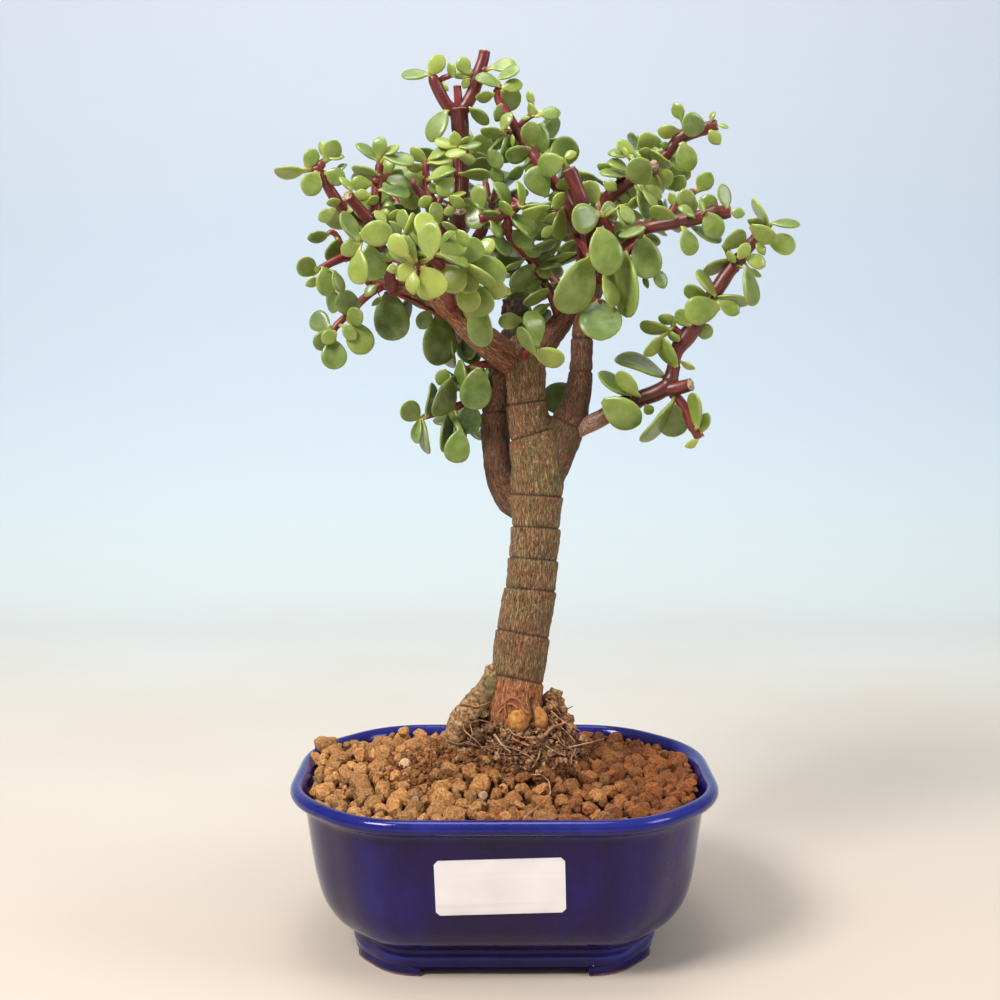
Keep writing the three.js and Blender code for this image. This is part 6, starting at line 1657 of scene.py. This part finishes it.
def ruled_leaves(places, radii, shares):
    """Opposite pairs of leaves along a stem that no row describes, each pair turned a quarter
    from the last, with a closing pair at the tip."""
    leaves = []
    start = int(np.argmax(np.linalg.norm(places - places[0], axis=1) > 6))
    travelled, quarter = RULED_SPACING, next(shares) * math.pi
    for i in range(start, len(places)):
        travelled += np.linalg.norm(places[i] - places[i - 1])
        if travelled < RULED_SPACING and i < len(places) - 1:
            continue
        travelled = 0
        quarter += math.pi / 2
        along = unit(places[i] - places[i - 1])
        first = unit(np.cross([0, 0, 1.0], along))
        second = np.cross(along, first)
        for half in (0, math.pi):
            outward = first * math.cos(quarter + half) + second * math.sin(quarter + half)
            opening = .9 + .35 * next(shares)
            way = unit(along * math.cos(opening) + outward * math.sin(opening))
            length = RULED_LENGTH[0] + (RULED_LENGTH[1] - RULED_LENGTH[0]) * next(shares)
            base = places[i] + outward * radii[i] * .7
            leaves.append(make_leaf(base, way, unit(np.cross(along, outward)), length,
                                    length * (.76 + .1 * next(shares))))
    return leaves


def plan_spray(spray, number, obstacles, others, first=()):
    """The leaves of one spray, settled before any is made. A leaf moves nearer or farther on its
    line of sight until it is clear of all other leaves and stems, or at least of other sprays.
    After its first leaves are given, it is the spray's further rows that are settled."""
    shares = seeded_shares(150 + number if first else 100 + number)
    routes = routes_of(spray)
    balls = [stem_balls(rows) for rows in routes]
    places = np.vstack([ball[0][:-1] for ball in balls])
    radii = np.concatenate([ball[1][:-1] for ball in balls])
    away = np.linalg.norm(places[:, None] - obstacles[0][None], axis=2) - obstacles[1][None]
    free = (away >= TOUCH_GAP).all(axis=1)
    plan, outers = list(first), [outer_part(leaf) for leaf in first]

    def clear_outside(leaf):
        return (clear_of_stems(leaf, *obstacles, LEAF_ROOM)
                and clear_of_leaves(leaf, others, LEAF_ROOM))

    def clear_inside(leaf):
        outer = outer_part(leaf)
        return clear_of_stems(outer, places, radii, .1) and clear_of_leaves(outer, outers, .1)

    def keep(leaf):
        leaf["points"] = np.vstack([leaf_points(leaf), *[point[None] for point in leaf["stalk"]]])
        plan.append(leaf)
        outers.append(outer_part(leaf))

    for row in spray["more"] if first else spray.get("leaves", ()):
        depth = depth_on_stems(routes, row)
        tip_lean = 1 if next(shares) < .7 else -1
        side_lean = 1 if next(shares) < .7 else -1
        fallback = None
        for step in DEPTH_STEPS:
            leaf = on_stem(leaf_from_row(row, depth + step, tip_lean, side_lean),
                           places[free], radii[free])
            if clear_outside(leaf):
                fallback = fallback or leaf
                if clear_inside(leaf):
                    fallback = leaf
                    break
        if fallback:
            keep(fallback)
    for rows in () if first else spray.get("ruled", []):
        for leaf in ruled_leaves(*stem_balls(rows), shares):
            on_stem(leaf, places[free], radii[free])
            if clear_outside(leaf) and clear_inside(leaf):
                keep(leaf)
    return plan


LEAF_GRID = (13, 12)                # rings along a leaf, points round it
SMALL_LEAF, SMALL_GRID = 8.0, (8, 8)    # the length in mm up to which a leaf has the second grid
DISH = .34                          # how far a leaf's face sinks between its rims, of its half depth


def leaf_surface(leaf, random):
    """A plump leaf: along its middle line, which leaves the stem and then arches by a sine, lie
    flattened rings of rounded boxes, so that the rim is thick. A ring's half breadth is the egg
    outline with its own bluntness; its face is dished by the square of the way to the rim and the
    whole leaf is cupped and twisted a little. Gives places, rim shares and shares along."""
    rows, around = SMALL_GRID if leaf["length"] < SMALL_LEAF else LEAF_GRID
    step = np.linspace(0, 1, rows)
    t = .35 * step + .65 * (1 - np.cos(np.pi * step)) / 2
    turn = np.linspace(0, 2 * np.pi, around, endpoint=False)
    arch, cup = random.uniform(-.03, .11), random.uniform(.02, .17)
    twist, blunt = random.uniform(-.14, .14), random.uniform(.40, .56)
    blunt += .34 * np.clip(1 - (leaf["length"] - 4.5) / 4.5, 0, 1)
    inner = np.clip(t, .004, .997)
    outline = inner ** .685 * (1 - inner) ** blunt
    half = leaf["broad"] / 2 * outline / outline.max()
    neck = float(np.clip(leaf["broad"] * .15, .5, 1.15))
    half = np.maximum(half, neck * np.clip(1.15 - t * 3.2, 0, 1.05))
    across = np.sign(np.cos(turn)) * np.abs(np.cos(turn)) ** .72
    level = np.sign(np.sin(turn)) * np.abs(np.sin(turn)) ** .72
    fullness = np.clip((1 - inner ** 6) ** .5, .3, 1) * np.clip(.55 + inner * 1.6, 0, 1)
    thick = leaf["thick"] * .5 * fullness
    dish = DISH * np.clip(level, 0, 1)[None] * (1 - across[None] ** 2) * (inner * (1 - inner) * 4)[:, None]
    sideways = half[:, None] * across[None]
    rise = leaf["length"] * arch * np.sin(np.pi * t ** 1.4)
    hollow = cup * half[:, None] * (across[None] ** 2 - .35) + twist * sideways * t[:, None]
    up = (rise[:, None] + hollow + thick[:, None] * (level[None] * (1 - .16 * across[None] ** 4) - dish)
          + leaf["thick"] * .4)
    middle = leaf["length"] * (t - .01)
    points = (leaf["base"] + leaf["along"] * middle[:, None, None]
              + leaf["side"] * sideways[..., None] + leaf["face"] * up[..., None])
    rim = np.maximum(np.abs(across)[None] ** 8 * np.ones((rows, 1)),
                     (np.clip((t - .93) / .07, 0, 1))[:, None])
    root = leaf["stem"] + (leaf["base"] - leaf["stem"]) * .15
    way = unit(points[0].mean(axis=0) - root + 1e-9)
    sideway = unit(np.cross(way, leaf["face"]) + 1e-9)
    upway = np.cross(sideway, way)
    stub = root + neck * (np.cos(turn)[:, None] * -sideway + .8 * np.sin(turn)[:, None] * upway)
    return (np.concatenate([stub[None], points]), np.vstack([np.zeros(around), rim]),
            np.concatenate([[0], t]))


CUT_RIM = [                         # on from the end, radius and dryness of each ring of a cut end
    (.35, 1.04, .2), (.70, 1.0, .9), (.62, .78, 1), (.1, .56, .7), (-.8, .44, .5), (-1.2, .2, .4)]


def joint_swell(length, joints):
    """The swelling of a stem at its joints: a bell curve round each, and a pinch just past it."""
    off = length[:, None] - np.asarray(joints)[None]
    if off.size == 0:
        return np.zeros(len(length)), np.zeros(len(length))
    swell = (.13 * np.exp(-(off / 1.1) ** 2)).sum(axis=1)
    ring = np.exp(-((off - .9) / .28) ** 2).max(axis=1)
    return swell - .10 * ring, ring


def stem_surface(rows, leaves, cut):
    """One stem: its smooth line with a swelling at each joint where its leaves leave it. A cut
    stem keeps its radius to the end, a growing one is drawn in to a blunt point."""
    rows = np.asarray(rows, float)
    inner = rows[0] - (rows[1] - rows[0]) / np.linalg.norm((rows[1] - rows[0])[:2]) * 4
    places, radii = limb_line(np.vstack([[*inner[:3], rows[0][3] * .8], rows]), 6)
    steps = lengths_along(places)
    count = max(8, int(steps[-1] / .9))
    length = np.linspace(0, steps[-1] - 1.3 * cut, count)
    places = np.column_stack([np.interp(length, steps, places[:, k]) for k in range(3)])
    radii = np.interp(length, steps, radii)
    joints = []
    for leaf in leaves:
        off = np.linalg.norm(places - leaf["stem"], axis=1)
        if off.min() < 1.2:
            joints.append(length[off.argmin()])
    joints = np.array(sorted(joints))
    if len(joints):
        joints = joints[np.concatenate([[True], np.diff(joints) > 2.2])]
    swell, ring = joint_swell(length, joints)
    radii = radii * (1 + swell) * (1 + .04 * waves(places, 6, 91))
    if not cut:
        taper = np.clip((length[-1] - length) / (radii[-1] * 1.6), 0, 1)
        radii = radii * np.sqrt(np.clip(taper, .04, 1))
    return places, radii, length, ring


def build_spray(spray, plan, number):
    """One spray as one piece: its stems, then its leaves, with what each finish needs to know."""
    random = np.random.default_rng(200 + number)
    points, faces, finish, look, grain, start = [], [], [], [], [], 0
    routes = routes_of(spray)
    for k, rows in enumerate(routes):
        cut = k in spray.get("cut", ())
        places, radii, length, ring = stem_surface(rows, plan, cut)
        woody = spray.get("woody", 0) * (k == 0)
        end = .5 * np.clip((woody - length) / 5, 0, 1)
        if cut:
            ahead = unit(places[-1] - places[-3])
            rim = np.array(CUT_RIM)
            places = np.vstack([places, places[-1] + ahead * rim[:, :1]])
            radii = np.append(radii, radii[-1] * rim[:, 1])
            length, ring = np.append(length, length[-1] + rim[:, 0]), np.append(ring, 0 * rim[:, 0])
            end = np.append(end, rim[:, 2])
        skin, loops = tube(places, radii, STEM_SIDES, start)
        young = np.clip(1.25 - radii / 2.3, 0, 1)
        if cut:
            torn = .3 * waves(skin[-len(CUT_RIM) * STEM_SIDES:], 1.8, 92 + number, 9)
            skin[-len(CUT_RIM) * STEM_SIDES:] += ahead * torn[:, None]
        points.append(skin)
        faces += loops
        finish += [1] * len(loops)
        look.append(np.repeat(np.column_stack([young, ring, end]), STEM_SIDES, 0))
        turn = np.tile(np.linspace(0, 2 * np.pi, STEM_SIDES, endpoint=False), len(places))
        size = np.repeat(radii, STEM_SIDES)
        grain.append(np.column_stack([size * np.cos(turn), size * np.sin(turn),
                                      np.repeat(length, STEM_SIDES) * .15]))
        start += len(skin)
    for leaf in plan:
        surface, rim, along = leaf_surface(leaf, random)
        rings, around = rim.shape
        grid = ring_faces(rings, around)
        caps = [np.arange(around)[::-1], (rings - 1) * around + np.arange(around)]
        points.append(surface.reshape(-1, 3))
        faces += (grid + start).tolist() + [(cap + start).tolist() for cap in caps]
        finish += [0] * (len(grid) + 2)
        small = np.clip(1 - (leaf["length"] - 5) / 9, 0, 1)
        tone = np.clip(spray["tone"] + random.normal(0, .11) + .20 * small, 0, 1)
        far = np.linalg.norm(leaf["base"] - leaf["stem"]) - leaf["stem_radius"] > 2.2
        base = np.clip(1 - along / .14, 0, .25 if far else 1)
        base = np.broadcast_to(base[:, None], rim.shape)
        look.append(np.stack([np.full(rim.shape, tone), rim, base], axis=2).reshape(-1, 3))
        grain.append(surface.reshape(-1, 3))
        start += surface.shape[0] * around
    piece = new_piece(spray["name"] + "_shoot", np.vstack(points), faces, leaf_finish, stem_finish,
                      face_finish=finish)
    paint(piece, "shoot_look", np.clip(np.vstack(look), 0, 1))
    lay_grain(piece, np.vstack(grain))
    return piece


def leaf_material():
    """A plump waxy leaf: mid green to yellow green by its age, mottled, paler at the rim and where
    it joins the stem, with light coming through it, a faint bloom that is partly a painted pale
    sheen, and a soft waxy gloss."""
    material, tree = new_material("waxy_leaf", Subsurface_Weight=.18, Subsurface_Scale=.003,
                                  Subsurface_Radius=(.5, 1.0, .2), IOR=1.45,
                                  Coat_Weight=.38, Coat_Roughness=.20)
    tone, rim, base = painted(tree, "shoot_look")
    place = object_place(tree)
    cloud = noise(tree, place, 170, 4, .5)
    cells = noise(tree, place, 1500, 3, .5)
    share = clouded(tree, tone, place, 170, .6)
    green = colour_ramp(tree, share, [(.0, (.048, .086, .013)), (.25, (.103, .166, .023)),
                                      (.5, (.190, .264, .038)), (.75, (.323, .389, .062)),
                                      (1, (.456, .503, .094))])
    # Pale patches: partly a waxy bloom, partly a painted sheen in place of broad highlights.
    bloom_and_sheen = colour_ramp(tree, noise(tree, place, 260, 4, .6), [(.42, (0, 0, 0)), (.66, (1, 1, 1))])
    green = mixed(tree, scaled(tree, bloom_and_sheen, .20), green, (.44, .50, .25))
    pale = mixed(tree, scaled(tree, rim, .30), green, (.46, .55, .14))
    pale = mixed(tree, scaled(tree, base, .6), pale, (.54, .50, .12))
    dots = colour_ramp(tree, cells, [(.62, (0, 0, 0)), (.72, (1, 1, 1))])
    finished(tree, (scaled(tree, cloud, 2.0, cells), .12, .0004),
             Base_Color=mixed(tree, scaled(tree, dots, .12), pale, (.50, .58, .26)),
             Roughness=scaled(tree, cloud, .24, .26))
    return material


def stem_material():
    """Green wood: crimson to pinkish brown skin, greyer on older wood, a dark line at each joint
    and pale dry pith where it was cut."""
    material, tree = new_material("red_stem", Coat_Weight=.12, Coat_Roughness=.3)
    young, ring, cut = painted(tree, "shoot_look")
    grain = add_node(tree, "ShaderNodeAttribute", attribute_name="grain_place").outputs["Vector"]
    streak = noise(tree, grain, 900, 4, .5)
    old = colour_ramp(tree, streak, [(.3, (.066, .010, .008)), (.5, (.100, .016, .012)),
                                     (.7, (.165, .040, .027))])
    fresh = colour_ramp(tree, streak, [(.3, (.190, .016, .021)), (.5, (.265, .026, .031)),
                                       (.7, (.36, .066, .060))])
    place = object_place(tree)
    base = mixed(tree, clouded(tree, young, place, 190, 1.5), old, fresh)
    base = mixed(tree, scaled(tree, ring, .55), base, (.050, .014, .010))
    torn = noise(tree, place, 1700, 4, .7)
    pith = colour_ramp(tree, torn, [(.38, (.10, .045, .025)), (.5, (.48, .30, .18)), (.62, (.80, .68, .52))])
    finished(tree, (streak, .14, .0003), Base_Color=mixed(tree, cut, base, pith),
             Roughness=scaled(tree, streak, .2, .30))
    return material


leaf_finish, stem_finish = leaf_material(), stem_material()
trunk_balls = [stem_balls(rows) for rows in [TRUNK_ROUTE, *BROWN_LIMBS]]
spray_balls = [[stem_balls(rows) for rows in routes_of(spray)] for spray in SPRAYS]


def around_spray(number):
    """The balls of every stem but those of one spray: places and radii."""
    others = trunk_balls + [ball for k, balls in enumerate(spray_balls) if k != number for ball in balls]
    return np.vstack([ball[0] for ball in others]), np.concatenate([ball[1] for ball in others])


plans = []
for number, spray in enumerate(SPRAYS):
    plans.append(plan_spray(spray, number, around_spray(number), [leaf for plan in plans for leaf in plan]))
for number, spray in enumerate(SPRAYS):
    if "more" in spray:
        others = [leaf for k, plan in enumerate(plans) if k != number for leaf in plan]
        plans[number] = plan_spray(spray, number, around_spray(number), others, plans[number])
for number, spray in enumerate(SPRAYS):
    shoot = build_spray(spray, plans[number], number)
    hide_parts(spray["name"] + "_spray")
    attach(shoot, "root")
settled = [leaf for plan in plans for leaf in plan]
for number, spray in enumerate(INNER_SHOOTS, len(SPRAYS)):
    plan = plan_spray(spray, number, around_spray(number), settled)
    settled += plan
    shoot = build_spray(spray, plan, number)
    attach(shoot, "root")


# ------------------------------------------------------------------ floor, light and camera
# A sweep of matt card, cream underfoot and pale blue behind, in soft window light from the left
# and above. The camera stands where the sheet's eye is.

CARD_FRONT, CARD_BACK, CARD_TOP, CARD_HALF, CARD_BEND = -1500.0, 560.0, 1900.0, 2400.0, 340.0
CARD_TINTS = [                      # share of the way up, and tint
    (.0, (.60, .51, .425)), (.025, (.64, .59, .52)), (.045, (.675, .675, .64)),
    (.072, (.67, .72, .71)), (.15, (.64, .73, .765)), (.25, (.60, .695, .785)),
    (.36, (.595, .685, .79)), (.57, (.63, .69, .80)), (.8, (.67, .715, .80))]


def card_material():
    """Matt card whose tint goes from cream to pale blue by its height and a tenth of its depth,
    faintly clouded."""
    material, tree = new_material("pale_card", Roughness=.95, Specular_IOR_Level=.1)
    place = add_node(tree, "ShaderNodeTexCoord").outputs["Object"]
    _, depth, height = add_node(tree, "ShaderNodeSeparateXYZ", Vector=place).outputs
    way_up = scaled(tree, depth, .09, height)
    cloud = scaled(tree, noise(tree, place, 5, 2), 1.0, -.5)
    finished(tree, Base_Color=colour_ramp(tree, scaled(tree, cloud, .03, way_up, True), CARD_TINTS))
    return material


def card_surface():
    """A floor that turns up into a wall by a quarter circle, carried straight from side to side."""
    turn = np.linspace(0, np.pi / 2, 24)
    bend = np.column_stack([CARD_BACK + CARD_BEND * np.sin(turn), CARD_BEND * (1 - np.cos(turn))])
    floor = np.column_stack([np.linspace(CARD_FRONT, CARD_BACK, 12), np.zeros(12)])[:-1]
    line = np.vstack([floor, bend, [CARD_BACK + CARD_BEND, CARD_TOP]])
    across = np.linspace(CARD_HALF, -CARD_HALF, 9)
    rows = np.repeat(line, len(across), 0)
    points = np.column_stack([np.tile(across, len(line)), rows])
    return points, ring_faces(len(line), len(across), closed=False)[:, ::-1]


def soft_light(name, place, target, size, power, colour):
    """A square light at a place, turned to shine at a target, both in mm from the pot's middle."""
    light = bpy.data.lights.new(name, "AREA")
    light.shape, light.size, light.energy, light.color = "SQUARE", size * .001, power, colour
    lamp = bpy.data.objects.new(name, light)
    lamp.location = np.array(place) * .001 + POT_MIDDLE
    ahead = Vector(target) - Vector(place)
    lamp.rotation_euler = ahead.to_track_quat("-Z", "Y").to_euler()
    bpy.context.scene.collection.objects.link(lamp)


card = new_piece("card_sweep", *card_surface(), card_material())
soft_light("left_window", (-620, -620, 980), (0, 0, 150), 400, 16, (1, .985, .95))
soft_light("right_window", (980, -340, 600), (0, 0, 150), 420, 4.6, (.95, .98, 1))
soft_light("skylight", (-60, -80, 1250), (0, 0, 120), 520, 5.6, (1, 1, 1))

room = bpy.data.worlds.new("room")
room.use_nodes = True
room_tree = room.node_tree
way = add_node(room_tree, "ShaderNodeTexCoord").outputs["Generated"]
rise = add_node(room_tree, "ShaderNodeSeparateXYZ", Vector=way).outputs["Z"]
glow = colour_ramp(room_tree, rise, [(.0, (.20, .18, .165)), (.25, (.27, .27, .28)), (1, (.52, .55, .58))])
seen_card = add_node(room_tree, "ShaderNodeLightPath").outputs["Is Camera Ray"]
room_tree.links.new(mixed(room_tree, seen_card, glow, (.72, .80, .90)),
                    room_tree.nodes["Background"].inputs["Color"])
bpy.context.scene.world = room
bpy.context.scene.view_settings.view_transform = "Standard"

camera_data = bpy.data.cameras.new("camera")
camera_data.sensor_width, camera_data.lens = 36.0, 36.0 * SHEET_DISTANCE / 1000
camera_data.clip_start = .01
camera = bpy.data.objects.new("camera", camera_data)
camera.location = SHEET_EYE * .001 + POT_MIDDLE
camera.rotation_euler = (math.pi / 2 - SHEET_PITCH, 0, 0)
bpy.context.scene.collection.objects.link(camera)
bpy.context.scene.camera = camera
